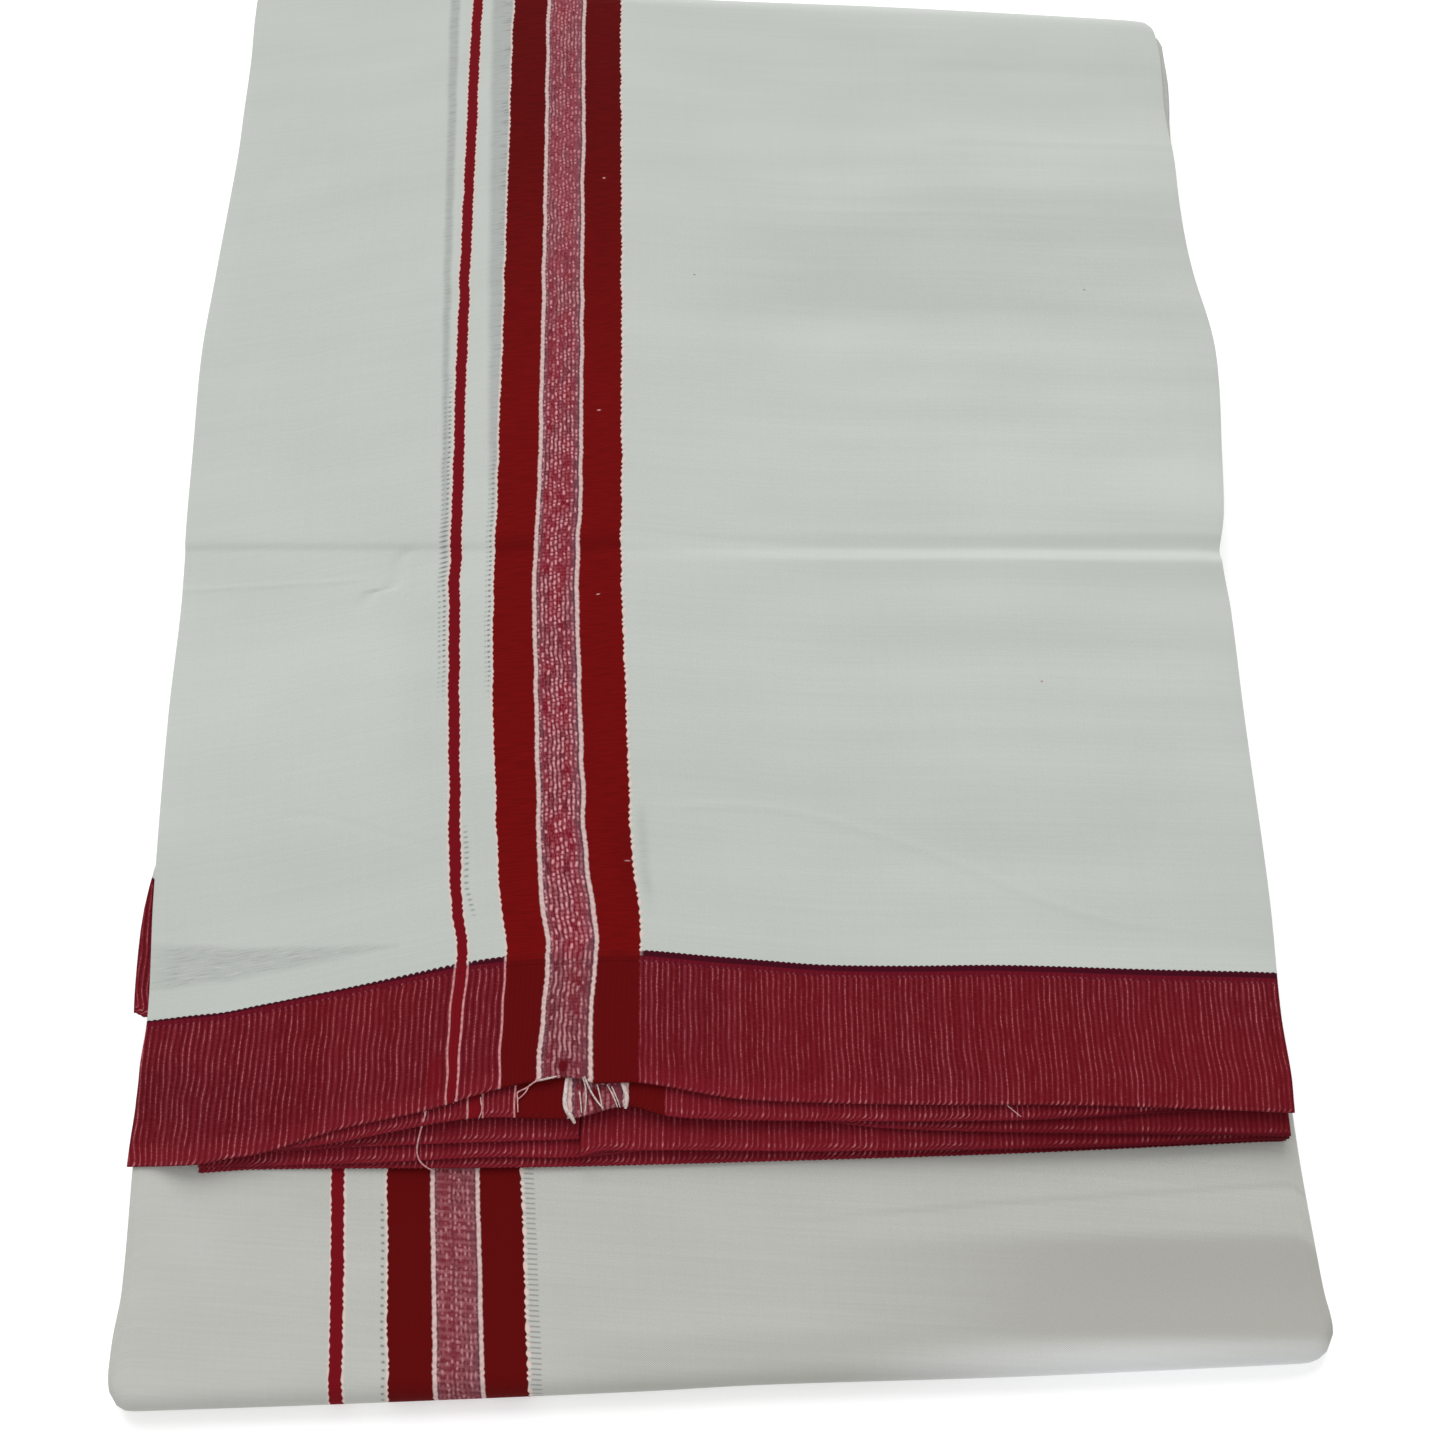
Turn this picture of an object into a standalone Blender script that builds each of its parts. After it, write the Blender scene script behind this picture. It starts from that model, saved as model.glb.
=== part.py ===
"""Folded dhoti cloth: one woven length of cotton, folded into four across and eight along.

Metres, +Z up, +Y away from the near fold, origin at the middle of the underside. The bundle has a lower
stack, which turns at the near fold, and an upper stack, whose crosswise end bands lie staggered on it. The
outermost layer runs from its end band over the top and round the far fold to the underside.
"""

import math
from bisect import bisect_right
from collections import namedtuple

import bmesh
import bpy
from mathutils import Vector

MM = 0.001

# Driving sizes
WALL = 1.0 * MM  # one solid layer, which stands for a loose ply or two of cloth
GAP = 0.3 * MM  # air between two layers
PITCH = WALL + GAP
LOWER_HEIGHT = 8.0 * MM  # floor to the top of the lower stack
HEM_INSET = 0.35 * MM
HEM = ((0.5, HEM_INSET),)  # the thin rounded edge of a layer, as (share of the height, distance out)
END_LEVELS = 5  # staggered layers between the lower stack and the top panel
TOP_START = -155 * MM  # about where the top panel's woven end lies
STEP_Y = -88 * MM  # front of the hidden upper layers
END_BACK = STEP_Y - GAP - HEM_INSET  # where the staggered end layers stop short of them
NEAR_NOSE = 5.5 * MM  # depth of the near fold's round
FAR_NOSE = 8.5 * MM  # depth of the far fold's round
UNDER_NEAR, UNDER_FAR = -178 * MM, 168 * MM  # where the outer layer's turned-in ends stop below the bundle
NEAR_CORNERS = (6.5 * MM, 9 * MM)  # plan radius of the bundle's left and right corners at the near fold
FAR_CORNERS = (7 * MM, 3 * MM)

INNER_NEAR_NOSE = 4.2 * MM  # the same for the hidden layers inside each fold
INNER_FAR_LOWER, INNER_FAR_UPPER = 5.0 * MM, 5.6 * MM

# Form of the layers
ROLL_DROP, ROLL_WIDTH = 1.1 * MM, 11 * MM  # every layer falls away towards the folded side edges
WAVE_HEIGHT, WAVE_LENGTH = 0.45 * MM, 54 * MM  # low cross waves over the far right of the stack
SLACK = 0.4 * MM  # dip where the layers lie slack at the near left
DROOP = 5.2 * MM  # the top panel's left end corner hangs past the layers below it
LOBES_LOWER, LOBES_UPPER = 3, 3  # bundles of folded edges that show at the sides
LOBE_OUT = 1.0 * MM  # how far each bundle of folded edges stands out
GROOVE_OUT = 0.15 * MM  # the same for the groove between two bundles
CORE_INSET = LOBE_OUT + 0.4 * MM

Side = namedtuple("Side", "along left right")
Edge = namedtuple("Edge", "across along")
Fold = namedtuple("Fold", "along drop")

# Folded side edges of the upper stack, a row for each bulge or dip
UPPER_SIDES = (
    Side(-170 * MM, -155.4 * MM, 152.8 * MM),
    Side(-148 * MM, -154.6 * MM, 153.4 * MM),
    Side(-130 * MM, -153.6 * MM, 152.6 * MM),
    Side(-98 * MM, -156.0 * MM, 153.3 * MM),
    Side(-45 * MM, -158.3 * MM, 151.0 * MM),
    Side(-12 * MM, -158.3 * MM, 151.8 * MM),
    Side(6 * MM, -159.2 * MM, 150.2 * MM),
    Side(20 * MM, -160.3 * MM, 153.6 * MM),
    Side(40 * MM, -160.9 * MM, 155.6 * MM),
    Side(75 * MM, -162.0 * MM, 157.0 * MM),
    Side(104 * MM, -160.8 * MM, 153.0 * MM),
    Side(132 * MM, -159.7 * MM, 151.4 * MM),
    Side(152 * MM, -158.8 * MM, 151.0 * MM),
    Side(168 * MM, -158.7 * MM, 149.8 * MM),
    Side(190 * MM, -158.9 * MM, 150.2 * MM),
    Side(206 * MM, -159.0 * MM, 149.4 * MM),
)

# The same edges on the hidden layers, which stand out below the top panel at the far right corner
INNER_SIDES = (
    Side(-98 * MM, -156.0 * MM, 153.1 * MM),
    Side(-45 * MM, -158.3 * MM, 150.8 * MM),
    Side(6 * MM, -159.2 * MM, 150.0 * MM),
    Side(40 * MM, -160.9 * MM, 155.2 * MM),
    Side(75 * MM, -162.0 * MM, 156.6 * MM),
    Side(132 * MM, -159.7 * MM, 151.6 * MM),
    Side(158 * MM, -158.7 * MM, 152.5 * MM),
    Side(182 * MM, -158.9 * MM, 153.8 * MM),
    Side(206 * MM, -159.0 * MM, 152.8 * MM),
)

# Folded side edges of the lower stack
LOWER_SIDES = (
    Side(-220 * MM, -155.4 * MM, 160.8 * MM),
    Side(-211 * MM, -155.3 * MM, 160.2 * MM),
    Side(-200 * MM, -154.4 * MM, 158.3 * MM),
    Side(-165 * MM, -155.7 * MM, 155.7 * MM),
    Side(-100 * MM, -157.4 * MM, 154.8 * MM),
    Side(0 * MM, -159.8 * MM, 152.0 * MM),
    Side(75 * MM, -161.6 * MM, 156.4 * MM),
    Side(130 * MM, -160.0 * MM, 152.6 * MM),
    Side(230 * MM, -158.6 * MM, 151.6 * MM),
)

# Left and right limits of the staggered end layers, which lie a little askew below the top panel
END_SIDES = (
    Side(-172 * MM, -137.3 * MM, 152.4 * MM),
    Side(-150 * MM, -138.6 * MM, 152.2 * MM),
    Side(-134 * MM, -145.0 * MM, 152.0 * MM),
    Side(-88 * MM, -155.6 * MM, 152.6 * MM),
)

NEAR_EDGE = (
    Edge(-155 * MM, -229.0 * MM),
    Edge(-98 * MM, -227.2 * MM),
    Edge(-20 * MM, -224.6 * MM),
    Edge(78 * MM, -220.9 * MM),
    Edge(160 * MM, -217.3 * MM),
)

FAR_EDGE = (
    Edge(-159 * MM, 229.0 * MM),
    Edge(-3 * MM, 219.6 * MM),
    Edge(64 * MM, 216.2 * MM),
    Edge(152 * MM, 209.6 * MM),
)

# Woven ends of the layers, from the top panel down
TOP_END = (
    Edge(-153 * MM, -168.6 * MM),
    Edge(-136 * MM, -168.0 * MM),
    Edge(-122 * MM, -165.6 * MM),
    Edge(-100 * MM, -159.8 * MM),
    Edge(-77 * MM, -155.4 * MM),
    Edge(-57 * MM, -149.6 * MM),
    Edge(-40 * MM, -146.8 * MM),
    Edge(-32 * MM, -148.2 * MM),
    Edge(-20 * MM, -148.2 * MM),
    Edge(1 * MM, -151.7 * MM),
    Edge(12 * MM, -152.8 * MM),
    Edge(50 * MM, -153.8 * MM),
    Edge(97 * MM, -154.0 * MM),
    Edge(152 * MM, -155.8 * MM),
)

SECOND_END = (
    Edge(-138 * MM, -167.0 * MM),
    Edge(-102 * MM, -163.6 * MM),
    Edge(-65 * MM, -157.3 * MM),
    Edge(-38 * MM, -157.2 * MM),
    Edge(-24 * MM, -154.2 * MM),
    Edge(-12 * MM, -156.8 * MM),
    Edge(12 * MM, -157.8 * MM),
    Edge(78 * MM, -157.8 * MM),
    Edge(125 * MM, -155.6 * MM),
    Edge(152 * MM, -154.8 * MM),
)

THIRD_END = (
    Edge(-22 * MM, -154.0 * MM),
    Edge(20 * MM, -157.0 * MM),
    Edge(45 * MM, -159.7 * MM),
    Edge(80 * MM, -160.8 * MM),
    Edge(152 * MM, -161.7 * MM),
)

FOURTH_LEFT_END = (
    Edge(-138 * MM, -166.5 * MM),
    Edge(-102 * MM, -164.7 * MM),
    Edge(-76 * MM, -163.7 * MM),
    Edge(-36 * MM, -162.4 * MM),
)

FOURTH_RIGHT_END = (
    Edge(-36 * MM, -166.9 * MM),
    Edge(-29 * MM, -165.4 * MM),
    Edge(33 * MM, -165.5 * MM),
    Edge(100 * MM, -164.4 * MM),
    Edge(152 * MM, -162.3 * MM),
)

FIFTH_END = (
    Edge(-138 * MM, -169.6 * MM),
    Edge(-90 * MM, -168.4 * MM),
    Edge(-60 * MM, -167.0 * MM),
    Edge(-36 * MM, -167.0 * MM),
    Edge(-10 * MM, -164.6 * MM),
    Edge(152 * MM, -161.8 * MM),
)

SIXTH_END = (
    Edge(-138 * MM, -171.0 * MM),
    Edge(-122 * MM, -170.0 * MM),
    Edge(-51 * MM, -169.5 * MM),
    Edge(12 * MM, -168.0 * MM),
    Edge(78 * MM, -166.0 * MM),
    Edge(152 * MM, -162.7 * MM),
)

# Corner of an inner layer that stands out at the left: its outer side and its woven end
FLAP_SIDES = (
    Side(-134 * MM, -154.9 * MM, -22.6 * MM),
    Side(-130 * MM, -157.3 * MM, -22.6 * MM),
    Side(-112 * MM, -158.9 * MM, -22.6 * MM),
    Side(-100 * MM, -158.4 * MM, -22.6 * MM),
    Side(-88 * MM, -156.4 * MM, -22.6 * MM),
)
FLAP_END = (
    Edge(-158 * MM, -129.3 * MM),
    Edge(-155 * MM, -130.6 * MM),
    Edge(-22 * MM, -131.0 * MM),
)

# The old cross fold, which runs over the top panel: a sharp valley between two soft ridges
CROSS_FOLD = (
    Fold(-16 * MM, 0),
    Fold(-1 * MM, 0.2 * MM),
    Fold(2.8 * MM, -0.1 * MM),
    Fold(7.2 * MM, 0.95 * MM),
    Fold(12.5 * MM, -0.3 * MM),
    Fold(28 * MM, 0),
)

# Shares of the width where the columns of points run, closer together at the rolled side edges and the border
COLUMNS = (
    0, 0.003, 0.009, 0.02, 0.034, 0.05, 0.10, 0.16, 0.22, 0.27, 0.31, 0.35, 0.385,
    0.42, 0.46, 0.52, 0.60, 0.70, 0.80, 0.90, 0.95, 0.966, 0.98, 0.991, 0.997, 1,
)

# Rows of points along the top panel, as distances from its woven end: closer together at the cross fold
TOP_ROWS = (
    0, 4, 12, 24, 40, 60, 85, 112, 138, 148, 154, 158, 162.2, 165, 167.5, 173, 182, 192, 204, 218,
    232, 246, 260, 274, 288, 302, 316, 330, 345, 360,
)
NEAR_ROWS = (0, 0.25, 0.5, 0.7, 0.85, 0.95)
NOSE_TURNS = (90, 65, 42, 20, 0, -20, -42, -65, -90)


def through(rows, at, column):
    """A column's value at a place along a table, on a smooth curve through the table's rows."""
    places = [row[0] for row in rows]
    values = [getattr(row, column) for row in rows]
    if at <= places[0]:
        return values[0]
    if at >= places[-1]:
        return values[-1]
    i = bisect_right(places, at) - 1
    span = places[i + 1] - places[i]

    def slope(k):
        before, after = max(k - 1, 0), min(k + 1, len(rows) - 1)
        return (values[after] - values[before]) / (places[after] - places[before])

    t = (at - places[i]) / span
    return (
        (2 * t**3 - 3 * t**2 + 1) * values[i]
        + (t**3 - 2 * t**2 + t) * span * slope(i)
        + (3 * t**2 - 2 * t**3) * values[i + 1]
        + (t**3 - t**2) * span * slope(i + 1)
    )


def ease(t):
    t = min(max(t, 0), 1)
    return t * t * (3 - 2 * t)


def limits(sides, y, inset=0):
    return through(sides, y, "left") + inset, through(sides, y, "right") - inset


def place(share, sides, inset, along):
    """x and y of the point at a share of the width, where along(x, y) gives y."""
    y = along(0, 0)
    for _ in range(4):
        left, right = limits(sides, y, inset)
        x = left + share * (right - left)
        y = along(x, y)
    return x, y


def roll(x, y):
    """How far a layer falls away near the folded side edges."""
    left, right = limits(UPPER_SIDES, y)
    inside = min(x - left, right - x)
    return ROLL_DROP * min(max(1 - inside / ROLL_WIDTH, 0), 1) ** 2


def swell(x, y):
    """Soft unevenness of the stack: low cross waves at the far right, and a slack dip at the near left."""
    waved = ease((x - 20 * MM) / (110 * MM)) * ease((y - 40 * MM) / (60 * MM))
    wave = math.sin(math.tau * (y - 20 * MM) / WAVE_LENGTH)
    slack = math.exp(-(((x + 90 * MM) / (60 * MM)) ** 2) - ((y + 190 * MM) / (50 * MM)) ** 2)
    return WAVE_HEIGHT * waved * wave - SLACK * slack


def bed(x, y):
    """Top of the lower stack, on which every layer above is laid."""
    return LOWER_HEIGHT + swell(x, y) - roll(x, y)


def crease(x, y):
    """Depth of the old cross fold, which fades towards the left."""
    strength = 0.45 + 0.55 * ease((x + 70 * MM) / (100 * MM))
    return strength * through(CROSS_FOLD, y, "drop")


def droop(x, y):
    """How far the top panel's left end corner hangs down past the side of the end layers."""
    return DROOP * ease((-141.5 * MM - x) / (12 * MM)) * ease((-136 * MM - y) / (24 * MM))


def stack_top(x, y):
    """Top of the hidden layers of the upper stack, just below the top panel."""
    return bed(x, y) + END_LEVELS * PITCH - crease(x, y)


def top_face(x, y):
    return stack_top(x, y) + PITCH - droop(x, y)


def rounded(x, y, sides, inset, radii):
    """How far an end fold draws back at the bundle's rounded corners."""
    left, right = limits(sides, y, inset)
    back = 0
    for inside, radius in zip((x - left, right - x), radii):
        short = radius - min(max(inside, 0), radius)
        back += radius - math.sqrt(radius**2 - short**2)
    return back


def near_fold(x, y, inset=HEM_INSET):
    """y where the lower stack starts to round down towards the near fold."""
    tip = through(NEAR_EDGE, x, "along")
    return tip + NEAR_NOSE + rounded(x, y, LOWER_SIDES, inset, NEAR_CORNERS)


def far_fold(x, y, inset=HEM_INSET):
    """y where the stack starts to round down towards the far fold."""
    tip = through(FAR_EDGE, x, "along")
    return tip - FAR_NOSE - rounded(x, y, UPPER_SIDES, inset, FAR_CORNERS)


def material(name, colour, roughness):
    made = bpy.data.materials.new(name)
    made.use_nodes = True
    shader = made.node_tree.nodes["Principled BSDF"]
    shader.inputs["Base Color"].default_value = (*colour, 1)
    shader.inputs["Roughness"].default_value = roughness
    shader.inputs["Metallic"].default_value = 0
    return made


def solid(name, upper, lower, rim, made_of, rim_at_ends=True):
    """A closed solid between two grids of points, with a rim of (share of the height, distance out) rows."""
    mesh = bmesh.new()
    rows, columns = len(upper), len(upper[0])
    edge = [(0, i) for i in range(columns - 1)]
    edge += [(j, columns - 1) for j in range(rows - 1)]
    edge += [(rows - 1, i) for i in range(columns - 1, 0, -1)]
    edge += [(j, 0) for j in range(rows - 1, 0, -1)]

    def lay(grid):
        points = [[mesh.verts.new(point) for point in row] for row in grid]
        for j in range(rows - 1):
            for i in range(columns - 1):
                mesh.faces.new(
                    (points[j][i], points[j][i + 1], points[j + 1][i + 1], points[j + 1][i])
                )
        return [points[j][i] for j, i in edge]

    def outwards(j, i):
        """Away from the solid at a point of its edge: sideways, or on past the end row."""
        way = Vector(((i == columns - 1) - (i == 0), 0, 0))
        if j in (0, rows - 1) and rim_at_ends:
            inner = 1 if j == 0 else rows - 2
            way += (upper[j][i] + lower[j][i] - upper[inner][i] - lower[inner][i]).normalized()
        return way.normalized() if way.length else way

    top, bottom = lay(upper), lay(lower)
    loops = [top]
    for share, out in rim:
        loops.append(
            [
                mesh.verts.new(a.co.lerp(b.co, share) + outwards(j, i) * out)
                for a, b, (j, i) in zip(top, bottom, edge)
            ]
        )
    loops.append(bottom)
    for high, low in zip(loops, loops[1:]):
        for k in range(len(edge)):
            n = (k + 1) % len(edge)
            mesh.faces.new((high[k], low[k], low[n], high[n]))
    bmesh.ops.recalc_face_normals(mesh, faces=mesh.faces)
    data = bpy.data.meshes.new(name)
    mesh.to_mesh(data)
    mesh.free()
    data.materials.append(made_of)
    data.shade_smooth()
    data.set_sharp_from_angle(angle=math.radians(50))
    made = bpy.data.objects.new(name, data)
    bpy.context.collection.objects.link(made)
    return made


def lobes(count):
    """Rim rows for bundles of folded edges, with a groove between each two."""
    rows = []
    for k in range(count):
        rows += [((k + 0.26) / count, LOBE_OUT), ((k + 0.74) / count, LOBE_OUT)]
        if k < count - 1:
            rows.append(((k + 1) / count, GROOVE_OUT))
    return tuple(rows)


def cut(sides, left=-1, right=1):
    """The same side limits, kept to the right of one place and to the left of another."""
    return tuple(Side(row.along, max(row.left, left), min(row.right, right)) for row in sides)


def end_layer(name, level, end, sides, made_of):
    """A staggered layer: its woven end lies free, and its back meets the hidden layers."""
    upper, lower = [], []
    for back in (0, 0.06, 0.3, 0.65, 1):

        def along(x, y):
            start = through(end, x, "along")
            return start + back * (END_BACK - start)

        points = [place(share, sides, HEM_INSET, along) for share in COLUMNS[::2] + COLUMNS[-1:]]
        upper.append([Vector((x, y, bed(x, y) + level * PITCH)) for x, y in points])
        lower.append([point - Vector((0, 0, WALL)) for point in upper[-1]])
    return solid(name, upper, lower, HEM, made_of)


def outer_panel(name, flat, face, fold, sides, way, nose, height, under, made_of):
    """A wall that lies flat along its rows, turns round the nose of a fold and is tucked in below.

    flat holds a function of x and y for each row, face gives the height of its outer side, fold gives y
    where the nose starts, and way is the nose's direction along Y.
    """
    outer, inner = [], []
    for along in flat:
        points = [place(share, sides, HEM_INSET, along) for share in COLUMNS]
        outer.append([Vector((x, y, face(x, y))) for x, y in points])
        inner.append([point - Vector((0, 0, WALL)) for point in outer[-1]])
    half = height / 2
    for turn in NOSE_TURNS:
        reach, rise = math.cos(math.radians(turn)), math.sin(math.radians(turn))

        def round_nose(x, y):
            return fold(x, y) + way * nose * reach

        points = [place(share, sides, HEM_INSET, round_nose) for share in COLUMNS]
        lift = [max(rise, 0) * (face(x, fold(x, y)) - height) for x, y in points]
        for grid, thinner in ((outer, 0), (inner, WALL)):
            grid.append(
                [
                    Vector((x, y - way * thinner * reach, half + (half - thinner) * rise + up))
                    for (x, y), up in zip(points, lift)
                ]
            )
    for lap in (0.2, 0.6, 1):

        def tucked_in(x, y):
            start = fold(x, y)
            return start + lap * (under - start)

        points = [place(share, sides, HEM_INSET, tucked_in) for share in COLUMNS]
        outer.append([Vector((x, y, 0)) for x, y in points])
        inner.append([Vector((x, y, WALL)) for x, y in points])
    return solid(name, outer, inner, HEM, made_of)


def near_panel(made_of):
    """The lower stack's top layer below the end bands, round the near fold and tucked in under it."""

    def row(share):
        return lambda x, y: END_BACK + share * (near_fold(x, y) - END_BACK)

    return outer_panel(
        "near_panel", [row(share) for share in NEAR_ROWS], bed, near_fold, LOWER_SIDES, -1,
        NEAR_NOSE, LOWER_HEIGHT, UNDER_NEAR, made_of,
    )


def top_panel(made_of):
    """The top layer from its end band over the upper stack, round the far fold and tucked in under it."""
    stop = TOP_START + TOP_ROWS[-1] * MM

    def row(back):
        def along(x, y):
            at_end = max(1 - back / 60, 0) ** 2 * (through(TOP_END, x, "along") - TOP_START)
            at_fold = ease((back - 240) / 120) * (far_fold(x, y) - stop)
            return TOP_START + back * MM + at_end + at_fold

        return along

    return outer_panel(
        "top_panel", [row(back) for back in TOP_ROWS], top_face, far_fold, UPPER_SIDES, 1,
        FAR_NOSE, LOWER_HEIGHT + (END_LEVELS + 1) * PITCH, UNDER_FAR, made_of,
    )


def core_rows(sides, rows):
    """Grids for a solid of hidden layers, from rows of (function for y, function for top z, bottom z)."""
    upper, lower = [], []
    for along, top, bottom in rows:
        points = [place(share, sides, CORE_INSET, along) for share in COLUMNS]
        upper.append([Vector((x, y, top(x, y))) for x, y in points])
        lower.append([Vector((x, y, bottom)) for x, y in points])
    return upper, lower


def nose_rows(fold, way, depth, low, high, face):
    """Rows that round off the end of hidden layers between two heights, from the tip back to the fold."""
    middle, half = (low + high) / 2, (high - low) / 2
    rows = []
    for turn in (12, 38, 64, 90):
        reach, rise = math.cos(math.radians(turn)), math.sin(math.radians(turn))
        rows.append(
            (
                lambda x, y, reach=reach: fold(x, y, CORE_INSET) + way * depth * reach,
                lambda x, y, rise=rise: middle + half * rise + rise * (face(x, y) - high),
                middle - half * rise,
            )
        )
    return rows


def hidden_layers(made_of):
    """All the layers inside the bundle as one rounded solid, with its bundles of folded edges at the sides."""
    low, inner_top = PITCH, LOWER_HEIGHT - PITCH

    def lower_top(x, y):
        return bed(x, y) - PITCH

    def level(y):
        return lambda x, _: y

    rows = nose_rows(near_fold, -1, INNER_NEAR_NOSE, low, inner_top, lower_top)
    rows += [
        (level(UNDER_NEAR + HEM_INSET + GAP), lower_top, low),
        (level(UNDER_NEAR + HEM_INSET + 2 * GAP), lower_top, 0),
    ]
    rows += [(level(y * MM), lower_top, 0) for y in (-130, -88, -40, 0, 40, 75, 110, 140)]
    rows += [
        (level(UNDER_FAR - HEM_INSET - 2 * GAP), lower_top, 0),
        (level(UNDER_FAR - HEM_INSET - GAP), lower_top, low),
    ]
    rows += nose_rows(far_fold, 1, INNER_FAR_LOWER, low, inner_top, lower_top)[::-1]
    lower = solid("hidden_layers", *core_rows(LOWER_SIDES, rows), lobes(LOBES_LOWER), made_of, False)

    bottom = LOWER_HEIGHT - 2 * PITCH
    rows = [(level(STEP_Y), stack_top, bottom)]
    rows += [(level(TOP_START + back * MM), stack_top, bottom) for back in TOP_ROWS[6:-2]]
    top = LOWER_HEIGHT + END_LEVELS * PITCH
    rows += nose_rows(far_fold, 1, INNER_FAR_UPPER, bottom, top, stack_top)[::-1]
    upper = solid("upper_layers", *core_rows(INNER_SIDES, rows), lobes(LOBES_UPPER), made_of, False)
    upper.hide_render = True
    upper.display_type = "WIRE"
    join = lower.modifiers.new("join the two stacks", "BOOLEAN")
    join.operation = "UNION"
    join.object = upper
    return lower


def centre_on_floor(pieces):
    """Moves every piece alike, so that the origin is at the middle of the bundle's underside."""
    corners = [vertex.co for piece in pieces for vertex in piece.data.vertices]
    middle = [(max(c[k] for c in corners) + min(c[k] for c in corners)) / 2 for k in (0, 1)]
    for piece in pieces:
        for vertex in piece.data.vertices:
            vertex.co -= Vector((*middle, 0))


for old in list(bpy.data.objects):
    bpy.data.objects.remove(old)

white = material("white cotton", (0.60, 0.62, 0.59), 0.9)
folded = material("folded cotton edges", (0.52, 0.53, 0.50), 0.9)
maroon = material("maroon end band", (0.20, 0.012, 0.022), 0.85)

hidden_layers(folded)
near_panel(white)
end_layer("sixth_end", 1, SIXTH_END, END_SIDES, maroon)
end_layer("fifth_end", 2, FIFTH_END, END_SIDES, maroon)
end_layer("fourth_end_left", 3, FOURTH_LEFT_END, cut(END_SIDES, right=-36.3 * MM), maroon)
end_layer("fourth_end_right", 3, FOURTH_RIGHT_END, cut(END_SIDES, left=-36 * MM), maroon)
end_layer("left_flap", 4, FLAP_END, FLAP_SIDES, maroon)
end_layer("third_end", 4, THIRD_END, cut(END_SIDES, left=-22.3 * MM), maroon)
end_layer("second_end", 5, SECOND_END, END_SIDES, maroon)
top_panel(white)
centre_on_floor(list(bpy.data.objects))
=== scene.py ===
"""Folded dhoti cloth: one woven length of cotton, folded four across and eight along.

Metres, +Z up, +Y away from the near fold. Each stretch that shows is cut flat as a grid and laid on the
fold that carries it. It keeps the cloth's own measure as its UV map: across from the border, and along from
the woven end.
"""

import math
from bisect import bisect_right
from collections import namedtuple

import bmesh
import bpy
from mathutils import Euler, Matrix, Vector, noise


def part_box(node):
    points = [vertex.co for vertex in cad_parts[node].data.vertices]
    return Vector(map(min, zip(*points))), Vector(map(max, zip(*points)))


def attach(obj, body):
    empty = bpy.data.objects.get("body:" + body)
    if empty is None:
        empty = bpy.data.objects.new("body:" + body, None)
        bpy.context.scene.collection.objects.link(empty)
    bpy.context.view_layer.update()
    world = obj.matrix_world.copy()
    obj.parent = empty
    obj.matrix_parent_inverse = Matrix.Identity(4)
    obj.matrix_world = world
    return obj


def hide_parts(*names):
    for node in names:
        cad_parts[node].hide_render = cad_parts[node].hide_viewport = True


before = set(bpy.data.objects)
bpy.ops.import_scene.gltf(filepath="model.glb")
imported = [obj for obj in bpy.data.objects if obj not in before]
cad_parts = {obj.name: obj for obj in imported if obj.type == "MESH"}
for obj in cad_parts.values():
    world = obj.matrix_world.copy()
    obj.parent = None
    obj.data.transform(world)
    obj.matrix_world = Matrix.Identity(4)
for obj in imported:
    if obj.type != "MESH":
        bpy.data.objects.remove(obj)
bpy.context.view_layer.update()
scene = bpy.context.scene

# ---- Plies inside the bundle
# The plies that no panel hides at the sides, white cotton: four bundles of four in each stack. Each bundle
# was folded in half across the cloth twice, so it has one thick fold at the left and, at the right, a thin
# fold between two selvedges. The bundles turn round the far and the near fold inside one another.

MM = 0.001
PITCH = 1.3 * MM  # from one laid layer to the next
LOWER_HEIGHT = 8.0 * MM
END_LEVELS = 5  # staggered layers between the lower stack and the top cloth
FAR_NOSE, NEAR_NOSE = 8.5 * MM, 5.5 * MM
NEAR_CORNERS = (6.5 * MM, 9 * MM)
FAR_CORNERS = (7 * MM, 3 * MM)
UNDER_NEAR, UNDER_FAR = -178 * MM, 168 * MM  # where the turned-in ends stop below the bundle
FLOOR_GAP = 0.1 * MM  # height of the turned-in ends' outer side
LOWEST_PLY = 1.25 * MM  # height of what lies on the turned-in ends
ROLL_DROP, ROLL_WIDTH = 1.1 * MM, 11 * MM  # the side folds' rounding
STEP_LINE = -88 * MM  # step behind the end bands, where the upper stack's plies begin
PLAIN_START = 0.5  # measure across at the middle of plies whose border isn't shown
PLIES_START, LOWER_START = 0.9, 0.85  # measures along, past all of the top cloth's so materials can tell

# The frame's origin is at the middle of the whole bundle. The folds are measured from the end layers' corner.
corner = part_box("third_end")
MIDDLE = Vector((corner[0].x + 22.3 * MM, corner[1].y + 88.3 * MM, 0))

Side = namedtuple("Side", "along left right")
Edge = namedtuple("Edge", "across along")


def in_mm(kind, *rows):
    """A table whose rows are written in millimetres."""
    return tuple(kind(*(value * MM for value in row)) for row in rows)


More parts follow.
